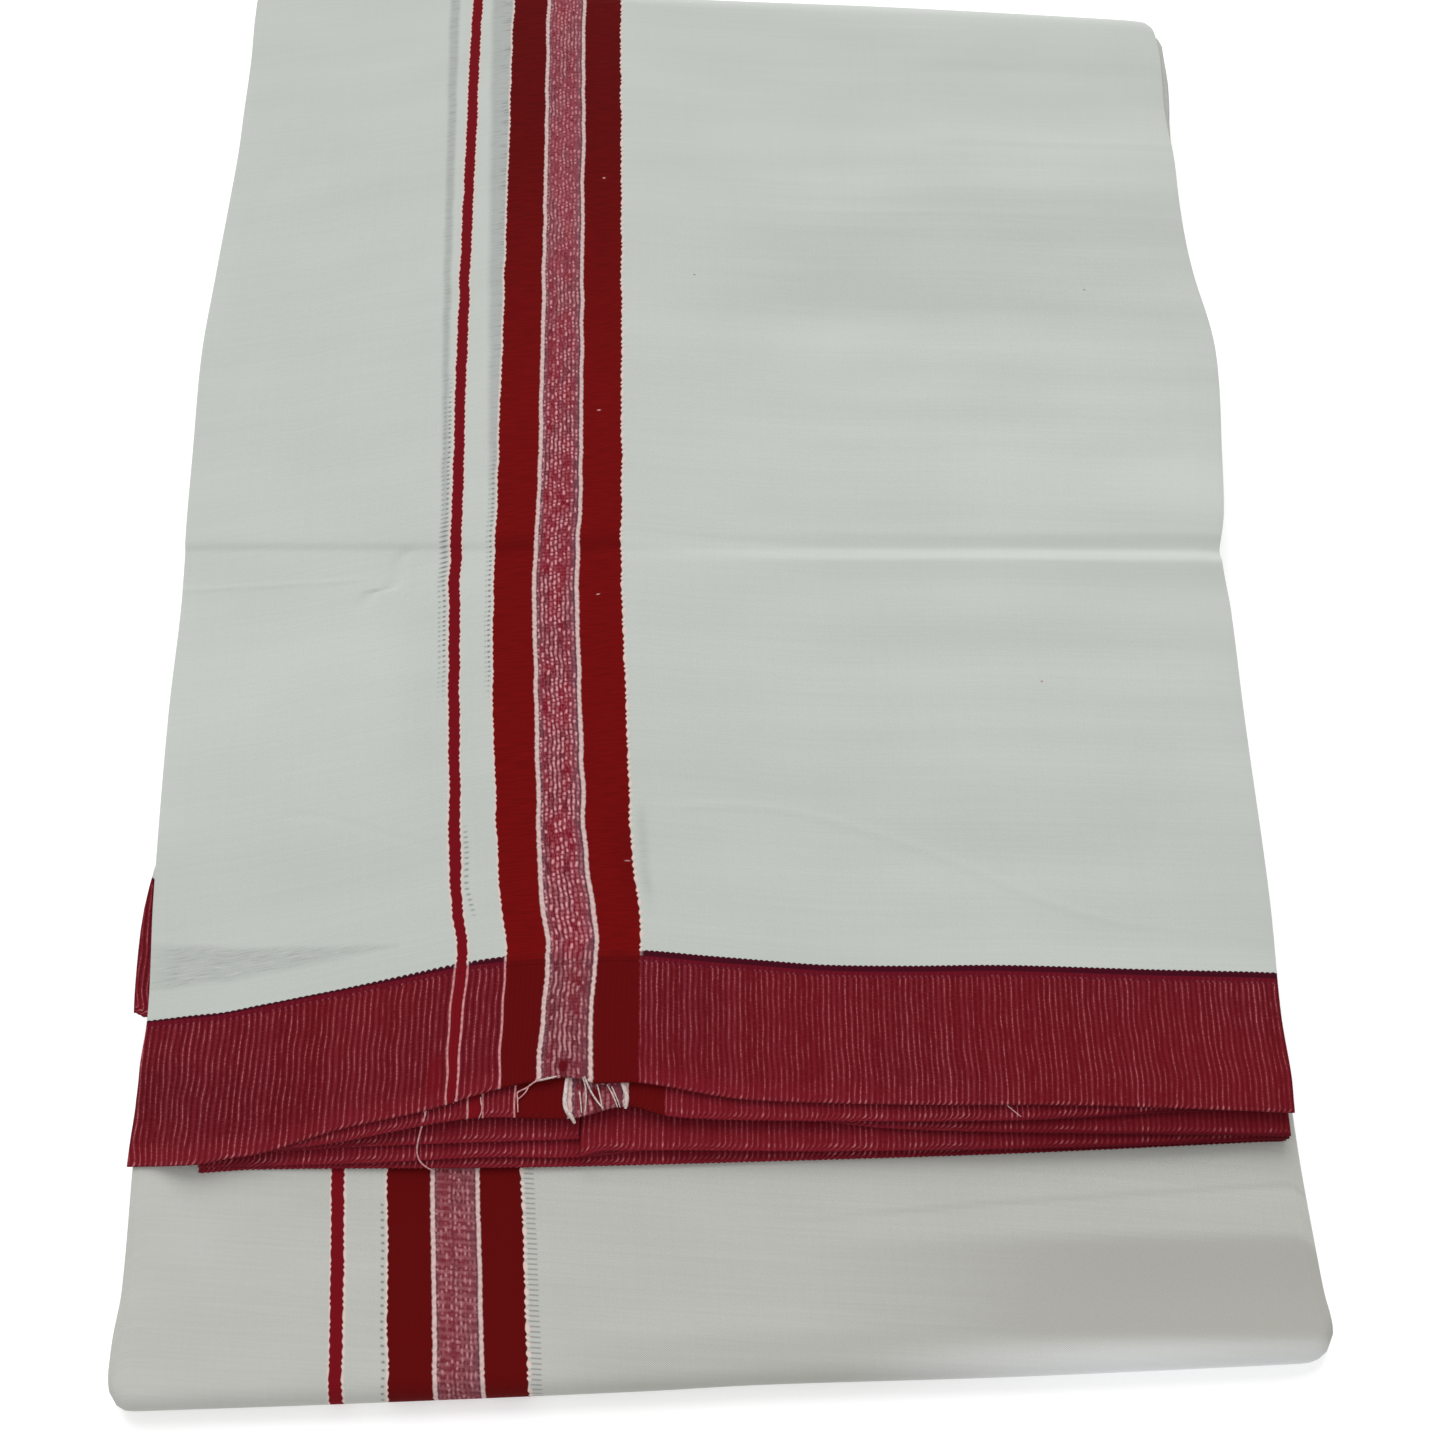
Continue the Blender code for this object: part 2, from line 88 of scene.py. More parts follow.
TOP_SIDES = in_mm(
    Side,
    (-170, -156.9, 152.8), (-161, -156.7, 153.0), (-153, -155.6, 153.2),
    (-146, -154.5, 153.4), (-130, -153.6, 152.6), (-98, -156.0, 153.3),
    (-45, -158.3, 152.4), (-12, -158.6, 152.2), (6, -159.5, 151.1), (20, -160.3, 153.6),
    (40, -161.1, 155.3), (75, -162.3, 157.3), (104, -161.1, 153.5), (132, -159.7, 151.4),
    (152, -158.8, 151.3), (168, -158.7, 150.5), (190, -158.5, 150.6), (206, -159.0, 149.4),
)
INNER_SIDES = in_mm(
    Side,
    (-98, -156.0, 153.1), (-45, -158.3, 151.9), (6, -159.2, 150.6), (40, -160.9, 155.2),
    (75, -162.0, 156.6), (132, -159.7, 151.6), (158, -158.7, 152.5), (182, -158.9, 153.8),
    (206, -159.0, 152.8),
)
LOWER_SIDES = in_mm(
    Side,
    (-220, -155.4, 160.8), (-211, -155.3, 160.2), (-200, -154.4, 158.3),
    (-165, -155.7, 155.7), (-100, -157.4, 154.8), (0, -159.8, 152.0), (75, -161.6, 156.4),
    (130, -160.0, 152.6), (230, -158.6, 151.6),
)
NEAR_EDGE = in_mm(
    Edge,
    (-155, -229.0), (-98, -227.2), (-20, -224.2), (12, -222.6), (78, -220.7), (160, -217.3),
)
FAR_EDGE = in_mm(Edge, (-159, 229.0), (-3, 219.6), (64, 216.2), (152, 209.6))

Fold = namedtuple("Fold", "along ridge step")
CROSS_FOLD = in_mm(
    Fold,
    (-34, 0, 0), (-8, -0.16, 0.12), (2.4, -0.70, 0.24), (3.7, -0.62, 0.25),
    (6.8, 0.56, 0.20), (7.6, 0.66, 0.06), (9.2, 0.44, -0.22), (12.0, -0.12, -0.27),
    (13.4, -0.20, -0.26), (34, 0, 0),
)
Press = namedtuple("Press", "across ridge step")
FOLD_PRESS = (
    Press(-155 * MM, 0.05, 1.2),
    Press(-95 * MM, 0.05, 1.1),
    Press(-50 * MM, 0.1, 0.6),
    Press(-12 * MM, 0.25, 0.1),
    Press(20 * MM, 0.5, 0),
    Press(70 * MM, 0.9, 0),
    Press(152 * MM, 1.25, 0),
)


def through(rows, at, column):
    """A column's value at a place along a table, on a smooth curve through the table's rows."""
    places = [row[0] for row in rows]
    values = [getattr(row, column) for row in rows]
    if at <= places[0]:
        return values[0]
    if at >= places[-1]:
        return values[-1]
    i = bisect_right(places, at) - 1
    span = places[i + 1] - places[i]

    def slope(k):
        before, after = max(k - 1, 0), min(k + 1, len(rows) - 1)
        return (values[after] - values[before]) / (places[after] - places[before])

    t = (at - places[i]) / span
    return (
        (2 * t**3 - 3 * t**2 + 1) * values[i]
        + (t**3 - 2 * t**2 + t) * span * slope(i)
        + (3 * t**2 - 2 * t**3) * values[i + 1]
        + (t**3 - t**2) * span * slope(i + 1)
    )


def ease(t):
    t = min(max(t, 0), 1)
    return t * t * (3 - 2 * t)


def rise(at, start, reach):
    """Rises smoothly from 0 to 1 from a start and over a reach, both in millimetres."""
    return ease((at - start * MM) / (reach * MM))


def hump(away, wide):
    """1 on a line, falling off on both sides over a width in millimetres."""
    return math.exp(-((away / (wide * MM)) ** 2))


def uneven(x, y, size, seed):
    """A slow random rise and fall from -1 to 1, with lumps of about this size."""
    return noise.noise(Vector((x / size, y / size, seed)))


def limits(sides, y):
    """Where the cloth's left and right sides lie."""
    return through(sides, y, "left"), through(sides, y, "right")


def roll(x, y):
    """How far every layer falls away near the folded side edges."""
    left, right = limits(TOP_SIDES, y)
    inside = min(x - left, right - x)
    return ROLL_DROP * min(max(1 - inside / ROLL_WIDTH, 0), 1) ** 2


def bed(x, y):
    """Top of the lower stack, with low cross waves at the far right and a slack dip at the near left."""
    waved = rise(x, 20, 110) * rise(y, 40, 60)
    wave = math.sin(math.tau * (y - 20 * MM) / (54 * MM))
    slack = hump(x + 90 * MM, 60) * hump(y + 190 * MM, 50)
    trough = rise(x, 60, 60) * hump(y + 200 * MM, 11)
    return LOWER_HEIGHT + (0.6 * waved * wave - 0.4 * slack - 0.8 * trough) * MM - roll(x, y)


def stack_top(x, y):
    """Top of the plies inside the upper stack: the old cross fold presses into them."""
    drop = through(FOLD_PRESS, x, "ridge") * through(CROSS_FOLD, y, "ridge")
    drop += through(FOLD_PRESS, x, "step") * through(CROSS_FOLD, y, "step")
    return bed(x, y) + END_LEVELS * PITCH - drop


def rounded(x, y, sides, radii):
    """How far an end fold draws back at the bundle's rounded corners."""
    left, right = limits(sides, y)
    back = 0
    for inside, radius in zip((x - left, right - x), radii):
        short = radius - min(max(inside, 0), radius)
        back += radius - math.sqrt(radius**2 - short**2)
    return back


def near_fold(x, y):
    """y where the lower stack starts to round down."""
    return through(NEAR_EDGE, x, "along") + NEAR_NOSE + rounded(x, y, LOWER_SIDES, NEAR_CORNERS)


def far_fold(x, y):
    """y where the whole bundle starts to round down."""
    return through(FAR_EDGE, x, "along") - FAR_NOSE - rounded(x, y, TOP_SIDES, FAR_CORNERS)


# A row runs across the cloth: where it lies, the turn of its outer side about X (90 faces up), its side
# limits, and how much thicker than one ply's pitch its bundle lies. A thread runs along the cloth: its share
# of the width, how far in from the side it lies, and how deep below the outer side.
Row = namedtuple("Row", "y z turn sides thick", defaults=(TOP_SIDES, 1))
Thread = namedtuple("Thread", "share inset depth")


def same(value):
    """One place or height all over the bundle."""
    return lambda x, y: value


def shifted(line, by):
    """A line across the bundle, moved along it."""
    return lambda x, y: line(x, y) + by


def stretch(start, stop, count, z, turn, sides, thick=1):
    """Rows of a flat stretch between two lines across the bundle."""

    def row(t):
        return Row(lambda x, y: start(x, y) + t * (stop(x, y) - start(x, y)), z, turn, sides, thick)

    return [row(k / (count - 1)) for k in range(count)]


def turned(fold, top, bottom, first, last, count, deep, sides, thick=1, inside=False):
    """Rows round a fold, from one turn to another. deep gives how far it reaches out from half its height.

    Inside a fold, the outer side faces into the bend.
    """
    way = -1 if inside else 1

    def half(x, y):
        return (top(x, fold(x, y)) - bottom(x, fold(x, y))) / 2

    def row(turn):
        reach, lift = math.cos(math.radians(turn)), math.sin(math.radians(turn))
        return Row(
            lambda x, y: fold(x, y) + way * reach * deep(half(x, y)),
            lambda x, y: bottom(x, fold(x, y)) + half(x, y) * (1 + way * lift),
            turn,
            sides,
            thick,
        )

    return [row(first + (last - first) * (k + 1) / (count + 1)) for k in range(count)]


def place(row, thread, wander):
    """Where a thread crosses a row, on the outer side and at the thread's own depth."""
    y = row.y(0, 0)
    for _ in range(3):
        left, right = limits(row.sides, y)
        pull = wander(y, row) * (1 - 2 * thread.share)
        x = left + thread.share * (right - left) + thread.inset + pull
        y = row.y(x, y)
    outer = Vector((x, y, row.z(x, y)))
    way = math.radians(row.turn)
    return outer, outer - Vector((0, math.cos(way), math.sin(way))) * thread.depth * row.thick


def put(name, data):
    """A new object in the scene."""
    made = bpy.data.objects.new(name, data)
    scene.collection.objects.link(made)
    return made


def finished(name, shape, materials):
    """A finished shape as an object in the scene."""
    data = bpy.data.meshes.new(name)
    shape.to_mesh(data)
    shape.free()
    for material in materials:
        data.materials.append(material)
    return put(name, data)


def lay_cloth(name, rows, threads, measure, materials, pick=lambda u, v: 0, wander=lambda y, row: 0):
    """A stretch of cloth: a grid cut flat, then laid row by row.

    measure gives its UV from x, y and the length so far, and pick gives a face's material from its UV.
    """
    columns = len(threads)
    cloth = bmesh.new()
    bmesh.ops.create_grid(cloth, x_segments=columns - 1, y_segments=len(rows) - 1, size=0.5)
    cloth.verts.ensure_lookup_table()
    cloth.faces.ensure_lookup_table()
    lengths = [0.0] * columns
    last = [None] * columns
    measured = []
    for j, row in enumerate(rows):
        for i, thread in enumerate(threads):
            outer, laid = place(row, thread, wander)
            if last[i]:
                lengths[i] += (outer - last[i]).length
            last[i] = outer
            cloth.verts[j * columns + i].co = laid + MIDDLE
            measured.append(measure(outer.x, outer.y, lengths[i], j))
    uv = cloth.loops.layers.uv.new("cloth")
    for face in cloth.faces:
        face.smooth = True
        corners = [measured[vertex.index] for vertex in face.verts]
        face.material_index = pick(*(sum(values) / len(corners) for values in zip(*corners)))
        for loop in face.loops:
            loop[uv].uv = measured[loop.vert.index]
    return finished(name, cloth, materials)


class Field:
    """A number or colour that a material's nodes work out at each point. Lengths are in millimetres."""

    def __init__(self, tree, output):
        self.tree, self.output = tree, output

    def node(self, kind, **values):
        """A node of this kind. values are its inputs by name, and its settings where a name starts small."""
        made = self.tree.nodes.new("ShaderNode" + kind)
        for key, value in values.items():
            if key[0].islower():
                setattr(made, key, value)
        for key, value in values.items():
            if not key[0].islower():
                wire(self.tree, made.inputs[key.replace("_", " ")], value)
        return made

    def calculate(self, operation, *others):
        made = self.tree.nodes.new("ShaderNodeMath")
        made.operation = operation
        for socket, value in zip(made.inputs, (self, *others)):
            wire(self.tree, socket, value)
        return Field(self.tree, made.outputs["Value"])

    def __add__(self, other):
        return self.calculate("ADD", other)

    def __sub__(self, other):
        return self.calculate("SUBTRACT", other)

    def __mul__(self, other):
        return self.calculate("MULTIPLY", other)

    def __truediv__(self, other):
        return self.calculate("DIVIDE", other)

    __radd__, __rmul__ = __add__, __mul__

    def __rsub__(self, other):
        return self * -1 + other

    def __abs__(self):
        return self.calculate("ABSOLUTE")

    def most(self, other):
        """The larger of two."""
        return self.calculate("MAXIMUM", other)

    def capped(self):
        """This, and 1 where it is more."""
        return self.calculate("MINIMUM", 1)

    def whole(self):
        return self.calculate("FLOOR")

    def part(self):
        return self.calculate("FRACT")

    def power(self, exponent):
        return self.calculate("POWER", exponent)

    def wave(self, pitch):
        return (self * (math.tau / pitch)).calculate("SINE")

    def step(self, low, high):
        """Rises smoothly from 0 to 1 between two values."""
        made = self.node(
            "MapRange", interpolation_type="SMOOTHSTEP", Value=self, From_Min=low, From_Max=high
        )
        return Field(self.tree, made.outputs["Result"])

    def fall(self, low, high):
        """Falls smoothly from 1 to 0 between two values."""
        return 1 - self.step(low, high)

    def between(self, low, high, soft):
        """1 between two values, falling off over this softness on both sides."""
        return (self - low).step(-soft, soft) * (self - high).fall(-soft, soft)

    def near(self, middle, reach):
        """1 in the middle of a line or spot, and 0 beyond its reach."""
        return abs(self - middle).fall(0, reach)

    def mix(self, first, second):
        """The first colour where this is 0, and the second where it is 1."""
        made = self.node("Mix", data_type="RGBA")
        wire(self.tree, made.inputs[0], self)
        wire(self.tree, made.inputs[6], first)
        wire(self.tree, made.inputs[7], second)
        return Field(self.tree, made.outputs[2])

    def lumps(self, other, across, along, seed, detail=0):
        """Soft noise from 0 to 1, on two measures, with lumps of about these sizes."""
        spot = self.node("CombineXYZ", X=self / across, Y=other / along, Z=seed)
        made = self.node("TexNoise", Vector=Field(self.tree, spot.outputs[0]), Scale=1, Detail=detail)
        return Field(self.tree, made.outputs[0])

    def chance(self, other, seed):
        """A random number from 0 to 1 for each whole pair of two measures."""
        spot = self.node("CombineXYZ", X=self.whole(), Y=other.whole(), Z=seed)
        made = self.node("TexWhiteNoise", Vector=Field(self.tree, spot.outputs[0]))
        return Field(self.tree, made.outputs[0])


def wire(tree, socket, value):
    if isinstance(value, Field):
        tree.links.new(value.output, socket)
    elif isinstance(value, tuple):
        socket.default_value = (*value, 1)
    else:
        socket.default_value = value


def new_material(name, **inputs):
    """A material with fixed inputs on its shader, given by name with _ for a space."""
    made = bpy.data.materials.new(name)
    made.use_nodes = True
    shader = made.node_tree.nodes["Principled BSDF"]
    for key, value in inputs.items():
        shader.inputs[key.replace("_", " ")].default_value = value
    return made, made.node_tree, shader


def cloth_material(name, paint):
    """A cotton material. paint gives colour, height and roughness from the cloth's measure in millimetres."""
    made, tree, shader = new_material(name, Specular_IOR_Level=0.06, Sheen_Weight=0.02, Sheen_Roughness=0.5)
    uv = tree.nodes.new("ShaderNodeUVMap")
    uv.uv_map = "cloth"
    split = tree.nodes.new("ShaderNodeSeparateXYZ")
    tree.links.new(uv.outputs[0], split.inputs[0])
    across, along = (Field(tree, split.outputs[axis]) * 1000 for axis in (0, 1))
    colour, height, roughness = paint(across, along)
    wire(tree, shader.inputs["Base Color"], colour)
    wire(tree, shader.inputs["Roughness"], roughness)
    bump = across.node("Bump", Strength=1, Distance=MM, Height=height)
    tree.links.new(bump.outputs[0], shader.inputs["Normal"])
    return made


def on_lower(along):
    """1 on the lower cloth and the plies inside, by their measure."""
    return along.step(815, 825)


WHITE, WHITE_SHADED = (0.562, 0.590, 0.556), (0.478, 0.506, 0.472)
DULL, DULL_SHADED, DULL_SUNK_SHADE = (0.520, 0.524, 0.494), (0.425, 0.424, 0.394), (0.368, 0.360, 0.330)
FOLD_LIGHT = (0.780, 0.800, 0.815)  # where the near fold turns towards the light


def white_ground(across, along):
    """Fine white plain weave with faint streaks, slacker bars of weft, a few specks, and painted light and
    shade.
    """
    weft = across.lumps(along, 42, 0.6, 1.3, 1)
    warp = across.lumps(along, 0.7, 45, 4.7)
    cloud = across.lumps(along, 34, 16, 8.1)
    bars = across.lumps(along, 170, 9, 6.6)
    right = across.step(55, 120)
    bar = right * (along.step(236, 246) * along.fall(279.4, 282) - along.between(180, 232, 9) * 0.4)
    far_bar = along.between(306.8, 309.4, 1) * 0.8 - along.between(163, 197, 8) * 0.6
    bar = bar + across.step(135, 165) * far_bar
    # A painted highlight on the cross fold's slope that faces the light
    fold_painted_highlight = across.step(20, 90) * along.between(156.3, 160.6, 1)
    tone = 0.5 + (weft - 0.5) * 0.45 + (warp - 0.5) * 0.12 + (cloud - 0.5) * 0.42
    tone = tone + fold_painted_highlight * 0.3 - along.fall(70, 150) * 0.24
    tone = tone + across.fall(-20, -5) * along.between(88, 150, 14) * 0.26
    fresh = tone + (bars - 0.5) * (right * 0.5 + 0.15) - bar * 0.32
    fresh = fresh.mix(WHITE_SHADED, WHITE)

    # The lower cloth is duller. Painted shade lies in low bars where it sinks before the near fold, along a
    # crease and where it starts to round over that fold, and a painted highlight where the fold turns towards
    # the light
    level = along + across * 0.085 - 18
    right = across.step(105, 185)
    # Painted shade in the low bars where the cloth sinks
    bar = right * level.between(1234, 1258, 3)
    # Painted shade along a crease
    fold_line_shade = across.step(100, 145) * (level + across * 0.075).near(1236.8, 1.6)
    # Painted shade where the middle of the cloth starts to round over the near fold
    edge = level.step(1253, 1259) * across.step(50, 80) * (1 - right) * 0.35
    dull = tone + 0.26 - (across + 60).step(0, 260) * 0.24 - bar * 0.6 - edge - across.step(-66, -20) * 0.1
    dull = (dull - fold_line_shade * 0.3).mix(DULL_SHADED, DULL)
    dull = (bar * 0.5).mix(dull, DULL_SUNK_SHADE)
    lit = level.step(1256, 1270) * level.fall(1275, 1283) * across.step(110, 185) * across.fall(235, 245)
    dull = lit.mix(dull, FOLD_LIGHT)
    colour = on_lower(along).mix(fresh, dull)
    speck = across.near(73.2, 0.5) * along.near(253.5, 0.4) + across.near(189.2, 0.6) * along.near(252, 0.35)
    colour = speck.mix(colour, (0.16, 0.15, 0.15))
    reddish = across.near(167.7, 0.55) * along.near(117.7, 0.45)
    colour = reddish.mix(colour, (0.30, 0.16, 0.15))
    weave = across.wave(0.55) * along.wave(0.5)
    return colour, weave * 0.03, 0.9


plain_cotton = cloth_material("plain white cotton", white_ground)


def lower_level(share):
    """Height in the lower stack at a share of its thickness. Between the turned-in ends it sags."""

    def z(x, y):
        between_ends = ease((y - UNDER_NEAR) / (10 * MM)) * ease((UNDER_FAR - y) / (10 * MM))
        low = LOWEST_PLY - 1.15 * MM * between_ends
        return low + share * (bed(x, y) - LOWEST_PLY - low)

    return z


def upper_level(share):
    """Height in the upper stack at a share of its thickness."""

    def z(x, y):
        low = bed(x, y) + 0.15 * MM
        return low + share * (stack_top(x, y) - 0.05 * MM - low)

    return z


def bundle_threads():
    """Threads round four plies: from a selvedge round the thick left fold, and back round the thin one."""
    ply = PITCH / 4
    depths = [(k + 0.5) * ply for k in range(4)]

    def run(first, last, depth, left, right):
        shares = [first + (last - first) * k / 16 for k in range(17)]
        return [Thread(s, left * (1 - s) - right * s, depth) for s in shares]

    def bend(share, top, bottom, out):
        radius = abs(bottom - top) / 2
        way = 1 if share == 0 else -1
        turns = [math.pi * k / 6 for k in range(1, 6)]
        insets = [way * (out + radius * (1 - math.sin(t))) for t in turns]
        downs = [top + (bottom - top) * (1 - math.cos(t)) / 2 for t in turns]
        return [Thread(share, inset, down) for inset, down in zip(insets, downs)]

    big, small, loose = 1.5 * ply, 0.5 * ply, 0.3 * MM
    threads = run(1, 0, depths[0], big, 0.7 * MM)
    threads += bend(0, depths[0], depths[3], 0)
    threads += run(0, 1, depths[3], big, small)
    threads += bend(1, depths[3], depths[2], 0)
    threads += run(1, 0, depths[2], small + loose, small)
    threads += bend(0, depths[2], depths[1], loose)
    threads += run(0, 1, depths[1], small + loose, 0.5 * MM)
    return threads


def chain_rows(number):
    """The plies of a bundle from the step behind the end bands, round three folds, and back to that step."""
    upper_thick = (END_LEVELS * PITCH - 0.2 * MM) / 4 / PITCH
    lower_thick = (LOWER_HEIGHT - 2 * LOWEST_PLY) / 4 / PITCH
    between = (upper_thick + lower_thick) / 2
    outer, inner = number / 4, 1 - number / 4
    high, low = upper_level(inner), lower_level(outer)
    middle, under = lower_level(inner), upper_level(outer)
    far_line, near_line = shifted(far_fold, -0.5 * MM), shifted(near_fold, 0.4 * MM)

    def far_deep(half):
        return 1.02 * half

    def near_deep(half):
        return 1.35 * half

    rows = stretch(same(STEP_LINE), far_line, 56, high, 90, INNER_SIDES, upper_thick)
    rows += turned(far_line, high, low, 90, -90, 9, far_deep, INNER_SIDES, between)
    rows += stretch(far_line, near_line, 40, low, -90, LOWER_SIDES, lower_thick)
    rows += turned(near_line, middle, low, -90, -270, 9, near_deep, LOWER_SIDES, lower_thick)
    rows += stretch(near_line, far_line, 70, middle, -270, LOWER_SIDES, lower_thick)
    rows += turned(far_line, under, middle, -270, -90, 7, far_deep, INNER_SIDES, between, inside=True)
    rows += stretch(far_line, same(STEP_LINE), 56, under, -90, INNER_SIDES, upper_thick)
    return rows


for number, name in enumerate(("outer_folded_plies", "inner_folded_plies")):

    def stray(y, row, number=number):
        seed = 3.7 * number + row.turn / 70 + 5 * row.thick
        return (0.9 + 0.7 * uneven(y, 0, 30 * MM, seed) + 0.3 * uneven(y, 0, 7 * MM, seed)) * MM

    plies = lay_cloth(
        name,
        chain_rows(number),
        bundle_threads(),
        lambda x, y, length, j: (PLAIN_START + x, PLIES_START + length),
        [plain_cotton],
        wander=stray,
    )
    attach(plies, "root")
    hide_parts("hidden_layers")

# ---- Lower cloth
# The outer ply of the lower stack, white cotton with the woven border near its left side. It lies on the
# stack, turns round the near fold and is tucked in below the bundle.

EDGE_RADIUS = 0.46 * MM  # of a side fold's round
TUCK = 8 * MM  # what a side fold turns under
# The flat cloth's measures: its side folds, and the edges of the thin stripe, first red and second red
CLOTH_LEFT, CLOTH_RIGHT = -76 * MM, 224 * MM
BORDER = tuple(edge * MM for edge in (0, 3.2, 13.2, 24.6, 38.6, 51))

Border = namedtuple("Border", "along thin_left thin_right red_left red_right second_left second_right")
LOWER_BORDER = in_mm(
    Border,
    (-224.6, -98.4, -95.0, -83.2, -71.9, -58.6, -47.6),
    (-170.0, -102.1, -98.6, -87.3, -75.9, -62.8, -51.9),
)


def across_cloth(x, y, sides, border):
    """Distance across the flat cloth from the thin stripe's left edge, from where the border lies here."""
    if border is None:
        return PLAIN_START + x + 0.5 * MM * uneven(x, y, 12 * MM, 1.9)
    left, right = limits(sides, y)
    places = [left, *(through(border, y, column) for column in Border._fields[1:]), right]
    values = (CLOTH_LEFT, *BORDER, CLOTH_RIGHT)
    i = min(max(bisect_right(places, x) - 1, 0), len(places) - 2)
    t = (x - places[i]) / (places[i + 1] - places[i])
    sway = 0.3 * uneven(0, y, 9 * MM, 2.2) + 0.3 * uneven(x, y, 8 * MM, 3.1)
    return values[i] + t * (values[i + 1] - values[i]) + sway * MM


def folded_threads(shares):
    """Threads of a ply that is folded under at both sides, with its fold's round between."""
    turns = [math.pi * k / 6 for k in range(6)]
    r = EDGE_RADIUS

    def side(share, way):
        rounds = [Thread(share, way * r * (1 - math.sin(t)), r * (1 - math.cos(t))) for t in turns[1:]]
        return [*rounds, Thread(share, way * 2.5 * r, 2 * r), Thread(share, way * TUCK, 2 * r)]

    flat = [Thread(share, r * (1 - 2 * share), 0) for share in shares]
    return side(0, 1)[::-1] + flat + side(1, -1)


def spread(*runs):
    """Shares of the width from runs of (from, to, how many steps)."""
    return [a + (b - a) * k / n for a, b, n in runs for k in range(n)] + [runs[-1][1]]


CREAM = (0.68, 0.540, 0.490)
THIN_RED = (0.165, 0.0034, 0.0080)
CRIMSON, CRIMSON_FAR = (0.168, 0.0024, 0.0028), (0.088, 0.0008, 0.0011)
CRIMSON_LOWER = (0.106, 0.0018, 0.0021)
CORD, CORD_SHADED = (0.66, 0.475, 0.455), (0.56, 0.385, 0.370)
BEAD, BEAD_HIGHLIGHT = (0.62, 0.250, 0.275), (0.70, 0.470, 0.470)


def stripe_pattern(across, along):
    """The border's middle: columns of small pink and white beads on crimson, greyer farther along."""
    far = along.step(175, 300) * along.fall(800, 820)
    wavy = across + along.wave(11) * 0.12 + (along + across * 0.8).wave(4.3) * 0.12
    columns = wavy / 1.28
    strong = columns.chance(columns * 0, 3.3)
    rows = (along + along.wave(5.7) * 0.3) / 1.6 + strong * 7.3
    bright = columns.chance(rows, 2.9)
    beside = abs(columns.part() - 0.5)
    ahead = abs(rows.part() - 0.5)
    patch = across.lumps(along, 3.4, 13, 4.4, 1)
    joined = 0.9 - patch.step(0.5, 0.66) * 0.45 - along.fall(30, 55) * 0.4
    shape = beside.fall(0.06, 0.44) * (1 - ahead.step(0.14, 0.5) * joined)
    floats = shape * (bright * 0.8 + strong * 0.3 + patch * 0.7 - 0.38).step(0, 0.78)
    bars = on_lower(along) * along.wave(1.85).step(-0.3, 0.7) * (1 - across.near(30.4, 0.9))
    floats = floats.most(bars * (bright * 0.45 + 0.15))
    fine_columns = across / 0.47 + 0.3
    fine_rows = along / 0.9 + fine_columns.chance(fine_columns * 0, 5.3)
    fine = fine_columns.chance(fine_rows, 9.1) * abs(fine_columns.part() - 0.5).fall(0.1, 0.5)
    weft = along.wave(1.05) * 0.5 + 0.5
    crimson = patch.step(0.42, 0.62).mix((0.175, 0.0038, 0.0140), (0.105, 0.0065, 0.0150))
    mixed = (fine * (0.75 - weft * 0.5 + far * 0.2)).mix(crimson, (0.38, 0.105, 0.130))
    margin = across.step(34, 37.2).most(across.near(26.4, 0.9))
    mixed = (margin * 0.4).mix(mixed, (0.150, 0.085, 0.110))
    mixed = (far * weft * 0.35).mix(mixed, (0.28, 0.115, 0.140))
    colour = (floats * (1 - weft * 0.15 - far * 0.25)).mix(mixed, BEAD)
    # A painted highlight on the middle of the brightest beads
    colour = (floats.step(0.6, 1) * 0.4 * (1 - far * 0.5)).mix(colour, BEAD_HIGHLIGHT)
    return colour, floats * 0.1


